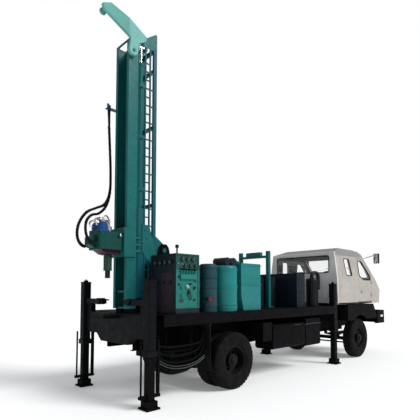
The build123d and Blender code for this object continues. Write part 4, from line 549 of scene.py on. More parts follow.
def make_hoses():
    """Two rubber feed hoses, each a smooth curve along its route with a ribbed guard round it."""
    for name, route in (("outer", HOSE_OUTER), ("inner", HOSE_INNER)):
        data = bpy.data.curves.new(f"hose_{name}_line", "CURVE")
        data.dimensions = "3D"
        data.bevel_depth = HOSE_RADIUS
        data.bevel_resolution = 5
        data.resolution_u = 10
        data.use_fill_caps = True
        spline = data.splines.new("NURBS")
        spline.points.add(len(route) - 1)
        for point, place in zip(spline.points, route):
            point.co = (*place, 1)
        spline.order_u = 3
        spline.use_endpoint_u = True
        hose = bpy.data.objects.new(f"feed_hose_{name}", data)
        bpy.context.scene.collection.objects.link(hose)
        give(hose, "hose_rubber", "mast", [f"hose_{name}"])
        guard = bmesh.new()
        wrapped = [p for p in curve_points(route) if p.z < GUARD_TOP][:-GUARD_END_STEPS]
        for k, (a, b) in enumerate(zip(wrapped, wrapped[1:])):
            turn = Matrix.Translation(a) @ (b - a).to_track_quat("Z", "Y").to_matrix().to_4x4()
            radius = GUARD_RADIUS - GUARD_RIB * (k % 2)
            reach = (b - a).length
            lathe(guard, Vector(), turn, [(0, radius * 0.90), (2 * GUARD_RIB, radius),
                                          (reach - GUARD_RIB, radius),
                                          (reach + GUARD_RIB, radius * 0.90)], 14)
        sleeve = give(new_mesh(f"hose_guard_{name}", guard), "hose_rubber", "mast")


# Wheels

# half a tyre's section from the bead to the middle of the tread: share of the half width, radius, and
# whether the cross grooves cut it there
TYRE_SECTION = (
    (0.72, RIM_RADIUS, 0), (0.80, RIM_RADIUS + 0.012, 0), (0.90, RIM_RADIUS + 0.034, 0),
    (0.985, RIM_RADIUS + 0.066, 0), (0.978, RIM_RADIUS + 0.076, 0), (0.995, RIM_RADIUS + 0.098, 0),
    (1.0, TYRE_RADIUS - 0.118, 0), (0.985, TYRE_RADIUS - 0.086, 0), (0.970, TYRE_RADIUS - 0.070, 1),
    (0.86, TYRE_RADIUS - 0.036, 1), (0.72, TYRE_RADIUS - 0.008, 1), (0.66, TYRE_RADIUS - 0.003, 1),
    (0.44, TYRE_RADIUS - 0.0008, 1), (0.43, TYRE_RADIUS - GROOVE_DEPTH, 0),
    (0.37, TYRE_RADIUS - GROOVE_DEPTH, 0), (0.36, TYRE_RADIUS, 0), (0.04, TYRE_RADIUS, 0),
    (0.03, TYRE_RADIUS - GROOVE_DEPTH, 0),
)


def tread_tyre(bm, x, y_middle):
    """A truck tyre: ribs round the middle, cross-grooved shoulder blocks and raised rings on the walls."""
    section = [(-share, radius, cut) for share, radius, cut in TYRE_SECTION]
    section += [(share, radius, cut) for share, radius, cut in reversed(TYRE_SECTION)]
    rings = []
    for i in range(TREAD_STEPS):
        angle = math.tau * i / TREAD_STEPS
        in_groove = i % BLOCK_STEPS == 0
        ring = []
        for share, radius, cut in section:
            r = radius - GROOVE_DEPTH if in_groove and cut else radius
            ring.append(bm.verts.new((x + r * math.cos(angle), y_middle + share * TYRE_HALF,
                                      TYRE_RADIUS + r * math.sin(angle))))
        rings.append(ring)
    for i in range(TREAD_STEPS):
        a, b = rings[i], rings[(i + 1) % TREAD_STEPS]
        for k in range(len(section) - 1):
            bm.faces.new((a[k], a[k + 1], b[k + 1], b[k]))
        bm.faces.new((a[-1], a[0], b[0], b[-1]))


def make_wheels():
    """Treaded tyres in the place of the plain ones, and the nuts and cap on each hub."""
    for name, side in SIDES.items():
        for end, x, middles, hub_face in (
                ("front", FRONT_AXLE_X, (FRONT_TYRE_Y,), FRONT_TYRE_Y + FRONT_HUB_OUT),
                ("rear", REAR_AXLE_X, (REAR_TYRE_Y, REAR_INNER_Y), REAR_HUB_Y)):
            body = f"wheel_{end}_{name}"
            node = f"tyre_front_{name}" if end == "front" else f"tyres_rear_{name}"
            bm = bmesh.new()
            for middle in middles:
                tread_tyre(bm, x, side * middle)
            give(new_mesh(f"treaded_{node}", bm), "tyre", body, [node])
            out = OUTWARD[side]
            bm = bmesh.new()
            for i in range(NUTS_PER_WHEEL):
                angle = math.tau * i / NUTS_PER_WHEEL
                place = (x + NUT_RING * math.cos(angle), side * hub_face,
                         TYRE_RADIUS + NUT_RING * math.sin(angle))
                bolt(bm, place, out, 0.014)
            lathe(bm, (x, side * hub_face, TYRE_RADIUS), out,
                  [(-0.004, 0.066), (0.030, 0.062), (0.042, 0.050), (0.047, 0.030), (0.048, 0.004)], 32)
            lathe(bm, (x, side * hub_face, TYRE_RADIUS), out,
                  [(-0.002, 0.118), (0.006, 0.118), (0.009, 0.112), (0.009, 0.070)], 40)
            give(new_mesh(f"hub_{end}_{name}", bm), "wheel_steel", body)


# Mast, head and jib

def make_mast_trim():
    """Bolts down the mast's channels, grease lines and their clamps, and louvred sheets on its sides."""
    bm = bmesh.new()
    for side, out in OUTWARD.items():
        for i in range(16):
            z = MAST_BOTTOM + 0.16 + 0.305 * i
            if z < MAST_TOP - 0.05 and not 5.1 < z < 5.4:
                bolt(bm, (MAST_REAR_X + 0.165, side * (MAST_HALF - 0.001), z), out, 0.009)
        for x, z in ((0.14, 6.46), (0.40, 6.46), (0.66, 6.46), (0.66, 6.62)):
            bolt(bm, (REAR + x + 0.02, side * (MAST_HALF - 0.001), z), out, 0.012)
        for x, z in ((0.47, 2.95), (0.52, 2.80), (0.57, 2.62), (0.62, 2.45)):
            bolt(bm, (REAR + x, side * (MAST_HALF + 0.005), z), out, 0.013)
    give(new_mesh("mast_bolts", bm), "mast_teal", "mast")
    bm = bmesh.new()
    for z in (3.05, 3.65, 4.25, 4.85, 5.45, 6.05):
        box(bm, (REAR + 0.303, -MAST_HALF - 0.001, z), (REAR + 0.345, -MAST_HALF + 0.012, z + 0.030))
    for offset in (0.0, 0.024):
        x = REAR + 0.312 + offset
        pipe(bm, [(x, -MAST_HALF - 0.004, z) for z in (1.9, 3.0, 4.0, 5.0, 6.2)], 0.0075, 8)
    give(new_mesh("mast_lines", bm), "mast_teal", "mast")
    bm = bmesh.new()
    for side in SIDES.values():
        side_box(bm, side, (MAST_REAR_X + 0.201, LADDER_BACK_X + 0.004),
                 (MAST_HALF - 0.012, MAST_HALF - 0.0085), (1.70, 3.35), 0.001)
        for i in range(7):
            z = 2.56 + 0.052 * i
            side_box(bm, side, (MAST_REAR_X + 0.206, LADDER_BACK_X - 0.004),
                     (MAST_HALF - 0.010, MAST_HALF - 0.002), (z, z + 0.018), 0.003)
    give(new_mesh("mast_side_sheets", bm), "mast_teal", "mast", material=TRUSS_PAINT)


def make_head_trim():
    """Steel pipes and fittings round the head, and bolts on its gearbox and motors."""
    top = GEARBOX_TOP
    bm = bmesh.new()
    for side, out in OUTWARD.items():
        y = side * MOTOR_Y
        pipe(bm, [(MOTOR_X, y + side * 0.030, top + 0.160),
                  (REAR - 0.330, y + side * 0.045, top + 0.235),
                  (REAR - 0.260, y + side * 0.020, top + 0.275), (REAR - 0.180, y * 0.6, top + 0.245),
                  (REAR - 0.150, y * 0.5, top + 0.180)], 0.013)
        pipe(bm, [(REAR - 0.395, y, top + 0.095), (REAR - 0.430, y + side * 0.010, top + 0.110),
                  (REAR - 0.440, y + side * 0.012, top + 0.160), (REAR - 0.405, y * 0.9, top + 0.200),
                  (REAR - 0.360, y * 0.8, top + 0.190)], 0.014)
        lathe(bm, (MOTOR_X, y + side * 0.030, top + 0.130), "z",
              [(0, 0.026), (0.022, 0.026), (0.024, 0.018), (0.040, 0.018)], 6)
        lathe(bm, (REAR - 0.040, side * (HEAD_HALF + 0.030), top - 0.060), out,
              [(0, 0.022), (0.020, 0.022), (0.022, 0.014), (0.030, 0.014)], 6)
    lathe(bm, (REAR - 0.300, 0, top + 0.226), "-x", [(0, 0.034), (0.012, 0.034), (0.014, 0.028)], 6)
    give(new_mesh("head_pipes", bm), "bare_steel", "head")
    bm = bmesh.new()
    for side, out in OUTWARD.items():
        for x in (-0.360, -0.250, -0.140, -0.060):
            for z in (2.585, 2.815):
                bolt(bm, (REAR + x, side * HEAD_HALF, z), out, 0.011)
        for x, y in ((-0.075, -0.075), (0.075, -0.075), (-0.075, 0.075), (0.075, 0.075)):
            bolt(bm, (MOTOR_X + x, side * MOTOR_Y + y, top + 0.026), "z", 0.010)
        for z in (2.50, 2.62, 2.74, 2.86):
            bolt(bm, (REAR + 0.038, side * 0.222, z), "-x", 0.011)
    give(new_mesh("head_bolts", bm), "mast_teal", "head")
    bm = bmesh.new()
    for i in range(6):
        angle = math.tau * i / 6
        place = (SPINDLE_X + SPINDLE_RING * math.cos(angle), SPINDLE_RING * math.sin(angle), 2.30)
        turn = Matrix.Rotation(angle, 4, "Z") @ Matrix.Rotation(math.pi / 2, 4, "Y")
        lathe(bm, place, turn, [(-0.004, 0.009), (0.005, 0.009)], 6)
    for z in (2.215, 2.380):
        band(bm, (SPINDLE_X, 0, z), "z", 0.0755, 0.004, 0.014, 36)
    give(new_mesh("spindle_trim", bm), "mast_teal", "spindle", material=SPINDLE_PAINT)


# Deck

def gauge(bm, faces, needles, place, axis, radius):
    """A round gauge: its rim, its dark face, and its needle and ticks, each kind in its own mesh."""
    lathe(bm, place, axis, [(-0.002, radius), (0.010, radius * 1.04), (0.014, radius * 0.98),
                            (0.014, radius * 0.86), (0.004, radius * 0.84)], 28)
    lathe(faces, place, axis, [(0.003, radius * 0.85), (0.006, radius * 0.85)], 28)
    turn = Matrix.Translation(place) @ AXES[axis] @ Matrix.Rotation(0.7 + 9 * radius, 4, "Z")
    bmesh.ops.create_cube(needles, size=1, matrix=turn @ Matrix.Translation((radius * 0.25, 0, 0.0075))
                          @ Matrix.Diagonal((radius * 0.95, radius * 0.10, 0.002, 1)))
    for i in range(9):
        tick = (turn @ Matrix.Rotation(-0.5 + 0.55 * i, 4, "Z")
                @ Matrix.Translation((radius * 0.70, 0, 0.0068)))
        bmesh.ops.create_cube(needles, size=1,
                              matrix=tick @ Matrix.Diagonal((radius * 0.14, 0.002, 0.0012, 1)))


def fitting(bm, along, z, radius, reach):
    """A stepped round fitting on the console's side panel, at a distance from its rear face."""
    lathe(bm, (CONSOLE_REAR_X + along, CONSOLE_SIDE_Y + PANEL_DEPTH, z), "-y",
          [(-0.002, radius), (reach * 0.5, radius), (reach * 0.55, radius * 0.7), (reach, radius * 0.7)], 16)


def make_console_trim():
    """Gauges, lever knobs, a bright valve, plates and screws on the console's two panels."""
    rims, faces, needles, knobs = bmesh.new(), bmesh.new(), bmesh.new(), bmesh.new()
    front = CONSOLE_SIDE_Y + PANEL_DEPTH - GAUGE_RISE
    for along, drop, radius in ((0.150, 0.088, 0.042), (0.270, 0.088, 0.042), (0.390, 0.088, 0.042),
                                (0.210, 0.203, 0.034), (0.330, 0.203, 0.034), (0.450, 0.203, 0.034)):
        gauge(rims, faces, needles, (CONSOLE_REAR_X + along, front, CONSOLE_TOP - drop), "-y", radius)
    back = CONSOLE_REAR_X + PANEL_DEPTH - GAUGE_RISE
    for along in (0.140, 0.280, 0.420, 0.560):
        gauge(rims, faces, needles, (back, CONSOLE_BACK_Y - along, CONSOLE_TOP - 0.148), "-x", 0.045)
    for i in range(6):
        x = CONSOLE_REAR_X + 0.115 + 0.062 * i
        lathe(knobs, (x, front - 0.002, CONSOLE_TOP - 0.292), "z",
              [(0, 0.012), (0.006, 0.017), (0.018, 0.020), (0.028, 0.017), (0.034, 0.008)], 18)
    lathe(knobs, (CONSOLE_REAR_X + 0.140, CONSOLE_SIDE_Y + 0.150, CONSOLE_TOP + 0.125), "z",
          [(0, 0.018), (0.006, 0.031), (0.024, 0.033), (0.036, 0.026), (0.042, 0.010)], 24)
    panel = CONSOLE_SIDE_Y + PANEL_DEPTH
    # dark fittings, then bright ones: distance from the rear face, height, radius, reach
    for row in ((0.074, 2.083, 0.020, 0.030), (0.075, 1.950, 0.020, 0.030), (0.330, 1.960, 0.022, 0.040),
                (0.420, 1.890, 0.026, 0.045), (0.421, 1.681, 0.022, 0.030), (0.290, 1.820, 0.032, 0.050)):
        fitting(rims, *row)
    pipe(rims, [(CONSOLE_REAR_X + 0.290, panel - 0.042, 1.820),
                (CONSOLE_REAR_X + 0.300, panel - 0.052, 1.780),
                (CONSOLE_REAR_X + 0.320, panel - 0.040, 1.720),
                (CONSOLE_REAR_X + 0.320, panel - 0.004, 1.680)], 0.010)
    bright = bmesh.new()
    for row in ((0.249, 1.907, 0.030, 0.050), (0.053, 2.303, 0.009, 0.012), (0.159, 2.295, 0.010, 0.014)):
        fitting(bright, *row)
    give(new_mesh("console_valve", bright), "bare_steel", "chassis")
    for x in (CONSOLE_REAR_X + SCREW_INSET, CONSOLE_FRONT_X - SCREW_INSET):
        for z in SCREW_HEIGHTS:
            lathe(rims, (x, CONSOLE_SIDE_Y + 0.0005, z), "-y", SCREW, 6)
    for y in (CONSOLE_BACK_Y - SCREW_INSET, CONSOLE_SIDE_Y + SCREW_INSET):
        for z in SCREW_HEIGHTS:
            lathe(rims, (CONSOLE_REAR_X + 0.0005, y, z), "-x", SCREW, 6)
    give(new_mesh("gauge_rims", rims), "bare_steel", "chassis", material=DARK_STEEL)
    give(new_mesh("gauge_faces", faces), "mast_teal", "chassis", material=GAUGE_FACE)
    give(new_mesh("gauge_needles", needles, smooth=False), "bare_steel", "chassis")
    give(new_mesh("lever_knobs", knobs), "chassis_black", "chassis")
    bm = bmesh.new()
    for x, z, width, height in ((0.080, 2.225, 0.110, 0.030), (0.410, 1.985, 0.070, 0.040),
                                (0.080, 1.640, 0.100, 0.060)):
        rear = CONSOLE_REAR_X + x
        box(bm, (rear, panel - 0.003, z), (rear + width, panel + 0.001, z + height), 0.001, 1)
    give(new_mesh("blank_plates", bm), "bare_steel", "chassis", material=DARK_STEEL)


def make_deck_trim():
    """Deck and outrigger bolts and caps, the sill behind the cab, and a line along the right side."""
    bm = bmesh.new()
    for side, out in OUTWARD.items():
        for i in range(18):
            bolt(bm, (REAR + 0.40 + 0.29 * i, side * (HALF_WIDTH - 0.001), DECK_TOP - 0.15), out, 0.011)
        for end, station in LEG_STATIONS.items():
            face = side * (LEG_Y + SLEEVE_HALF - 0.0005)
            for z in SLEEVE_BOLTS[end]:
                bolt(bm, (station - 0.045, face, z), out, 0.010)
                bolt(bm, (station + 0.045, face, z), out, 0.010)
            lathe(bm, (station, side * LEG_Y, SLEEVE_TOP), "z",
                  [(-0.002, 0.045), (0.022, 0.045), (0.030, 0.038), (0.030, 0.016), (0.050, 0.016)], 20)
    box(bm, (CAB_REAR_X - 0.060, -0.960, DECK_TOP - 0.020), (CAB_REAR_X - 0.010, 0.960, DECK_TOP + 0.060),
        0.006)
    give(new_mesh("deck_bolts", bm), "chassis_black", "chassis")
    bm = bmesh.new()
    for z in (1.95, 1.86, 1.77):
        for x in (REAR + 4.36, REAR + 4.62):
            lathe(bm, (x, -0.9145, z), "-y", [(-0.002, 0.006), (0.004, 0.006)], 6)
    pipe(bm, [(REAR + 3.70, -1.138, 1.065), (REAR + 4.00, -1.139, 1.080), (REAR + 4.30, -1.136, 1.066),
              (REAR + 4.60, -1.139, 1.078), (REAR + 4.95, -1.136, 1.070)], 0.012)
    give(new_mesh("side_lines", bm), "bare_steel", "chassis", material=DARK_STEEL)


def make_tank_trim():
    """Bands and caps on the tanks, filters and cylinder, hood latches and cooler fins."""
    bm = bmesh.new()
    for z in (1.560, 1.930, 2.235):
        band(bm, (*TANK_PLACE, z), "z", 0.2495, 0.003, 0.012, 64)
    lathe(bm, (REAR + 2.530, -0.620, 2.425), "z",
          [(-0.002, 0.070), (0.012, 0.074), (0.026, 0.074), (0.032, 0.066), (0.034, 0.018), (0.050, 0.016)],
          32)
    for z in (1.55, 1.75, 2.10, 2.28):
        bolt(bm, (REAR + 2.300, -1.020, z), "-y", 0.010)
        bolt(bm, (REAR + 2.760, -1.020, z), "-y", 0.010)
    give(new_mesh("tank_trim", bm), "mast_teal", "chassis", material=TANK_PAINT)
    bm = bmesh.new()
    for offset in (-0.085, 0.085):
        x = TANK_PLACE[0] + offset
        for y in (-1.012, -0.684):
            lathe(bm, (x, y - 0.002, 2.405), "y",
                  [(0, 0.040), (0.002, 0.076), (0.006, 0.078), (0.010, 0.076), (0.012, 0.040)], 32)
        for y in (-0.93, -0.85, -0.77):
            band(bm, (x, y, 2.405), "y", 0.077, 0.0025, 0.008, 32)
    for z in (1.52, 1.70, 1.88, 2.06, 2.24):
        band(bm, (REAR + 1.460, -0.880, z), "z", 0.173, 0.0035, 0.008, 48)
    for y in (-0.20, 0.20):
        box(bm, (REAR + 3.255, y - 0.05, 1.80), (REAR + 3.262, y + 0.05, 1.84), 0.002)
    for i in range(9):
        z = 1.56 + 0.05 * i
        for side in SIDES.values():
            side_box(bm, side, (REAR + 3.50, REAR + 3.95), (0.337, 0.346), (z, z + 0.018), 0.002)
    give(new_mesh("filter_trim", bm), "power_navy", "chassis")


# each pipe's distance out from the middle, its lowest height and its radius
UNDER_DECK_PIPES = ((0.80, 0.470, 0.026), (0.93, 0.455, 0.030), (1.02, 0.500, 0.024), (0.86, 0.540, 0.028),
                    (0.98, 0.590, 0.030), (1.05, 0.640, 0.022), (0.90, 0.680, 0.030), (1.01, 0.745, 0.026),
                    (0.95, 0.820, 0.030), (1.03, 0.900, 0.024))


def make_under_deck():
    """Bent pipes that hang low between the right rear outrigger and the rear wheel, and the mud flaps."""
    bm = bmesh.new()
    for i, (out, low, radius) in enumerate(UNDER_DECK_PIPES):
        high = 1.02 + 0.02 * (i % 4)
        rise = high - low
        pipe(bm, [(REAR + 0.09, -out, high), (REAR + 0.20, -out, low + 0.35 * rise),
                  (REAR + 0.42, -out - 0.006, low + 0.06 * rise), (REAR + 0.68 + 0.03 * (i % 3), -out, low),
                  (REAR + 0.98, -out + 0.006, low + 0.08 * rise), (REAR + 1.14, -out, low + 0.40 * rise),
                  (REAR + 1.20, -out, high + 0.10)], radius, 12)
    for x in (REAR + 0.42, REAR + 0.96):
        for z in (0.50, 0.74):
            box(bm, (x - 0.020, -1.085, z), (x + 0.020, -0.770, z + 0.030), 0.008)
        box(bm, (x - 0.006, -0.960, 0.52), (x + 0.006, -0.935, 1.330), 0.002)
    give(new_mesh("under_deck_pipes", bm), "chassis_black", "chassis")
    bm = bmesh.new()
    for out, z, radius in ((1.075, 0.560, 0.011), (1.080, 0.600, 0.009)):
        pipe(bm, [(REAR + 0.12, -out, z + 0.16), (REAR + 0.40, -out, z + 0.02),
                  (REAR + 0.70, -out, z - 0.02), (REAR + 0.98, -out, z + 0.015),
                  (REAR + 1.18, -out, z + 0.10)], radius)
    give(new_mesh("under_deck_lines", bm), "bare_steel", "chassis", material=DARK_STEEL)
    bm = bmesh.new()
    for side in SIDES.values():
        low, high = 0.430, DECK_TOP - DECK_EDGE + 0.002
        side_box(bm, side, (FLAP_FACE_X + 0.008, FLAP_FACE_X + 0.022), (0.620, 1.170), (low, high), 0.005)
        side_box(bm, side, (FLAP_FACE_X, FLAP_FACE_X + 0.030), (0.620, 1.172), (high - 0.050, high), 0.004)
        for out in (0.68, 0.84, 1.00, 1.12):
            bolt(bm, (FLAP_FACE_X, side * out, high - 0.025), "-x", 0.009)
    give(new_mesh("mud_flaps", bm), "hose_rubber", "chassis")


# Cab

def slope_point(along, off):
    """A point beside the windscreen: a distance down its slope and a distance off its face."""
    run, fall = SCREEN_FOOT[0] - SCREEN_TOP[0], SCREEN_TOP[1] - SCREEN_FOOT[1]
    return (SCREEN_TOP[0] + (along * run + off * fall) / SCREEN_LENGTH,
            SCREEN_TOP[1] + (off * run - along * fall) / SCREEN_LENGTH)


def rubber_frame(bm, corners, radius=0.011):
    """A window rubber: a closed round bead through the corners, which are rounded."""
    corners = [Vector(corner) for corner in corners]
    count = len(corners)
    line = []
    for i in range(count):
        before, here, after = corners[i - 1], corners[i], corners[(i + 1) % count]
        reach = min(0.05, (before - here).length / 3, (after - here).length / 3)
        start = here + (before - here).normalized() * reach
        end = here + (after - here).normalized() * reach
        for k in range(BEND_STEPS + 1):
            t = k / BEND_STEPS
            line.append(start * (1 - t) ** 2 + here * 2 * t * (1 - t) + end * t ** 2)
    rings = []
    size = len(line)
    normal = (corners[1] - corners[0]).cross(corners[2] - corners[1]).normalized()
    for i, point in enumerate(line):
        ahead = (line[(i + 1) % size] - line[i - 1]).normalized()
        across = ahead.cross(normal).normalized()
        ring = []
        for k in range(BEAD_SIDES):
            angle = math.tau * k / BEAD_SIDES
            ring.append(bm.verts.new(point + (across * math.cos(angle) + normal * math.sin(angle)) * radius))
        rings.append(ring)
    for i in range(size):
        a, b = rings[i], rings[(i + 1) % size]
        for k in range(BEAD_SIDES):
            m = (k + 1) % BEAD_SIDES
            bm.faces.new((a[k], a[m], b[m], b[k]))


def side_y(z):
    """The cab side's distance from the middle at a height: upright to the belt, then leaning inward."""
    top = SCREEN_TOP[1] + 0.010
    lean = 0.090 * max(0.0, (z - BELT_Z) / (top - BELT_Z))
    return CAB_HALF - lean


def make_cab_trim():
    """Window rubbers and the seam round each door."""
    slope_x = SCREEN_TOP[0] - 0.040
    door_window = ((DOOR_REAR_X + 0.070, BELT_Z + 0.080), (DOOR_REAR_X + 0.300, BELT_Z - 0.030),
                   (DOOR_FRONT_X - 0.060, BELT_Z - 0.030), (DOOR_FRONT_X - 0.060, BELT_Z + 0.080),
                   (slope_x - 0.060, WINDOW_TOP - 0.020), (DOOR_REAR_X + 0.070, WINDOW_TOP - 0.020))
    quarter = ((CAB_REAR_X + 0.530, BELT_Z + 0.070), (CAB_REAR_X + 0.845, BELT_Z + 0.070),
               (CAB_REAR_X + 0.760, WINDOW_TOP), (CAB_REAR_X + 0.465, WINDOW_TOP))
    seam = ((DOOR_REAR_X - 0.003, CAB_SILL - 0.003), (DOOR_FRONT_X + 0.003, CAB_SILL - 0.003),
            (DOOR_FRONT_X + 0.003, BELT_Z + 0.132), (slope_x + 0.001, 2.743), (DOOR_REAR_X - 0.003, 2.743))
    fixed = bmesh.new()
    for name, side in SIDES.items():
        rubber_frame(fixed, [(x, side * side_y(z), z) for x, z in quarter])
        rubber_frame(fixed, [(x, side * (side_y(z) - 0.006), z) for x, z in seam], 0.009)
        door = bmesh.new()
        rubber_frame(door, [(x, side * side_y(z), z) for x, z in door_window], 0.014)
        give(new_mesh(f"door_rubber_{name}", door), "hose_rubber", f"door_{name}")
    half = CAB_HALF - 0.180
    corners = []
    for along, y in ((0.070, -half), (SCREEN_LENGTH - 0.060, -half), (SCREEN_LENGTH - 0.060, half),
                     (0.070, half)):
        x, z = slope_point(along, 0)
        corners.append((x, y, z))
    rubber_frame(fixed, corners, 0.013)
    rear_half = half - 0.060
    low, high = BELT_Z + 0.140, WINDOW_TOP + 0.070
    rear = [(CAB_REAR_X + 0.008, y, z) for y, z in ((-rear_half, low), (rear_half, low), (rear_half, high),
                                                    (-rear_half, high))]
    rubber_frame(fixed, rear, 0.013)
    give(new_mesh("window_rubbers", fixed), "hose_rubber", "cab")


def make_cab_fittings():
    """Wipers, drip rails, sill strips and the ribs pressed in the cab's sides and doors."""
    bm = bmesh.new()
    for y in (-0.62, 0.06):
        (x0, z0), (x1, z1), (x2, z2), (x3, z3) = (
            slope_point(SCREEN_LENGTH - up, off)
            for up, off in ((0.035, 0.020), (0.32, 0.020), (0.12, 0.012), (0.52, 0.012)))
        lathe(bm, (x0, y, z0 - 0.012), "z", [(0, 0.020), (0.020, 0.020), (0.028, 0.012)], 16)
        pipe(bm, [(x0, y, z0), ((x0 + x1) / 2, y + 0.09, (z0 + z1) / 2), (x1, y + 0.17, z1)], 0.006, 8)
        pipe(bm, [(x2, y + 0.11, z2), ((x2 + x3) / 2, y + 0.18, (z2 + z3) / 2), (x3, y + 0.25, z3)], 0.007, 8)
    give(new_mesh("wipers", bm), "chassis_black", "cab")
    bm = bmesh.new()
    for side in SIDES.values():
        y = side * (side_y(DRIP_Z) + 0.004)
        pipe(bm, [(CAB_REAR_X + 0.05, y, DRIP_Z), (CAB_REAR_X + 0.8, y, DRIP_Z + 0.012),
                  (SCREEN_TOP[0] - 0.02, y, DRIP_Z)], 0.010, 8)
    give(new_mesh("drip_rails", bm), "cab_white", "cab")
    bm = bmesh.new()
    for side in SIDES.values():
        side_box(bm, side, (CAB_REAR_X + 0.06, DOOR_FRONT_X - 0.003), (CAB_HALF - 0.001, CAB_HALF + 0.005),
                 (1.484, 1.516), 0.002)
    give(new_mesh("sill_strips", bm), "chassis_black", "cab")
    rib = (CAB_HALF - 0.001, CAB_HALF + 0.004)
    for name, side in SIDES.items():
        door, wing = bmesh.new(), bmesh.new()
        for z in (1.905, 1.955):
            side_box(door, side, (DOOR_REAR_X + 0.02, DOOR_FRONT_X - 0.06), rib, (z, z + 0.014), 0.002)
            side_box(wing, side, (CAB_REAR_X + 0.10, DOOR_REAR_X - 0.02), rib, (z, z + 0.014), 0.002)
        give(new_mesh(f"door_ribs_{name}", door), "cab_white", f"door_{name}")
        give(new_mesh(f"side_ribs_{name}", wing), "cab_white", "cab")


def cushion(bm, low, high, channels):
    """A crowned pad: its sides pull in between its corners and sewn channels cross its top."""
    low, high = Vector(low), Vector(high)
    middle, half = (low + high) / 2, (high - low) / 2
    made = bmesh.ops.create_cube(bm, size=2)
    bmesh.ops.subdivide_edges(bm, edges=edges_of(made), cuts=CUSHION_CUTS, use_grid_fill=True)
    for vert in bm.verts:
        u, v, w = vert.co
        norm = (abs(u) ** 7 + abs(v) ** 7 + abs(w) ** 7) ** (1 / 7)
        scale = max(abs(u), abs(v), abs(w)) / max(norm, 1e-6)
        u, v, w = u * scale, v * scale, w * scale
        pull = 1 - 0.05 * (1 - v * v) * abs(u) ** 3
        crown = 0.93 + 0.07 * (1 - u * u) * (1 - v * v)
        place = Vector((u * pull * half.x, v * half.y * (1 - 0.04 * (1 - u * u)), w * half.z * crown))
        for channel in channels:
            place.z -= 0.010 * math.exp(-((v * half.y - channel) / 0.008) ** 2) * max(0.0, w)
        seam = math.exp(-((w - 0.55) / 0.05) ** 2) * 0.006
        place.x -= math.copysign(seam, u) * abs(u) ** 6
        place.y -= math.copysign(seam, v) * abs(v) ** 6
        vert.co = middle + place


def make_seats():
    """Two seats: a pressed base, a crowned cushion and a back with sewn channels."""
    seat_x = CAB_REAR_X + 0.700
    floor = 1.600
    bases = bmesh.new()
    for name, y in (("left", 0.560), ("right", -0.560)):
        box(bases, (seat_x + 0.02, y - 0.225, floor - 0.069), (seat_x + 0.48, y + 0.225, floor + 0.200),
            0.020, 3)
        bm = bmesh.new()
        cushion(bm, (seat_x, y - 0.240, floor + 0.195), (seat_x + 0.500, y + 0.240, floor + 0.330),
                SEAT_CHANNELS)
        pad = give(new_mesh(f"seat_cushion_{name}", bm), "seat_vinyl", "cab", ["seats"])
        bm = bmesh.new()
        cushion(bm, (-0.230, -0.230, -0.055), (0.230, 0.230, 0.055), SEAT_CHANNELS)
        lean = (Matrix.Translation((seat_x - 0.055, y, floor + 0.570))
                @ Matrix.Rotation(math.radians(-6), 4, "Y") @ Matrix.Rotation(math.radians(-90), 4, "Y"))
        bmesh.ops.transform(bm, matrix=lean, verts=bm.verts)
        back = give(new_mesh(f"seat_back_{name}", bm), "seat_vinyl", "cab", ["seats"])
    give(new_mesh("seat_bases", bases), "chassis_black", "cab")


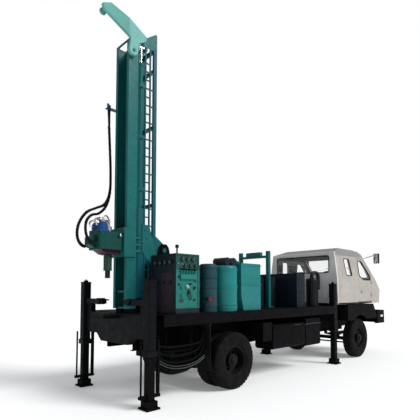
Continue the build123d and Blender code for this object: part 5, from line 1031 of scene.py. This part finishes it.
def make_lamps():
    """Headlamp rims, clear side lenses and the mirrors' glass."""
    rims = bmesh.new()
    for side in SIDES.values():
        for out in (0.895, 1.000):
            lathe(rims, (LAMP_X, side * out, LAMP_Z), "x",
                  [(-0.002, 0.048), (0.006, 0.050), (0.010, 0.047), (0.010, 0.040), (0.004, 0.039)], 28)
    give(new_mesh("lamp_rims", rims), "chrome", "chassis")
    bm = bmesh.new()
    for side in SIDES.values():
        side_box(bm, side, (REAR + 8.300, REAR + 8.430), (1.155, 1.168), (1.066, 1.114), 0.004)
    give(new_mesh("side_lenses", bm), "lamp_glass", "chassis")
    bm = bmesh.new()
    for side in SIDES.values():
        side_box(bm, side, (REAR + 7.9865, REAR + 7.9905), (1.135, 1.255), (2.655, 2.915), 0.0015)
    give(new_mesh("mirror_glass", bm), "chrome", "cab", material=MIRROR_FACE)


def studio():
    """A pale floor, a white backdrop that only the camera sees, and one soft sun."""
    bpy.ops.mesh.primitive_plane_add(size=FLOOR_SIZE, location=(0, 0, 0))
    floor = bpy.context.object
    floor.name = "floor"
    n = Nodes("floor")
    n.join(n.mix(n.noise(0.4), (0.965, 0.965, 0.965), (0.985, 0.985, 0.985)), n.shader.inputs["Base Color"])
    n.shader.inputs["Roughness"].default_value = 0.95
    n.shader.inputs["Specular IOR Level"].default_value = 0.1
    n.shader.inputs["Emission Color"].default_value = (1, 1, 1, 1)
    n.shader.inputs["Emission Strength"].default_value = FLOOR_GLOW
    floor.data.materials.append(n.material)
    world = bpy.data.worlds.new("studio")
    bpy.context.scene.world = world
    world.use_nodes = True
    tree = world.node_tree
    soft = tree.nodes["Background"]
    soft.inputs[0].default_value = (0.94, 0.98, 1.0, 1)
    soft.inputs[1].default_value = SKY_STRENGTH
    backdrop = tree.nodes.new("ShaderNodeBackground")
    backdrop.inputs[0].default_value = (1, 1, 1, 1)
    backdrop.inputs[1].default_value = 1.0
    seen = tree.nodes.new("ShaderNodeLightPath")
    mix = tree.nodes.new("ShaderNodeMixShader")
    tree.links.new(seen.outputs["Is Camera Ray"], mix.inputs[0])
    tree.links.new(soft.outputs[0], mix.inputs[1])
    tree.links.new(backdrop.outputs[0], mix.inputs[2])
    tree.links.new(mix.outputs[0], tree.nodes["World Output"].inputs[0])
    key = bpy.data.lights.new("key", "SUN")
    key.energy = SUN_POWER
    key.angle = SUN_SPREAD
    light = bpy.data.objects.new("key", key)
    light.rotation_mode = "QUATERNION"
    light.rotation_quaternion = Vector(SUN_WAY).to_track_quat("-Z", "Y")
    bpy.context.scene.collection.objects.link(light)
    bpy.context.scene.view_settings.view_transform = "Standard"


make_camera()
make_hoses()
dress_nodes()
make_wheels()
make_mast_trim()
make_head_trim()
make_console_trim()
make_deck_trim()
make_tank_trim()
make_under_deck()
make_cab_trim()
make_cab_fittings()
make_seats()
make_lamps()
studio()
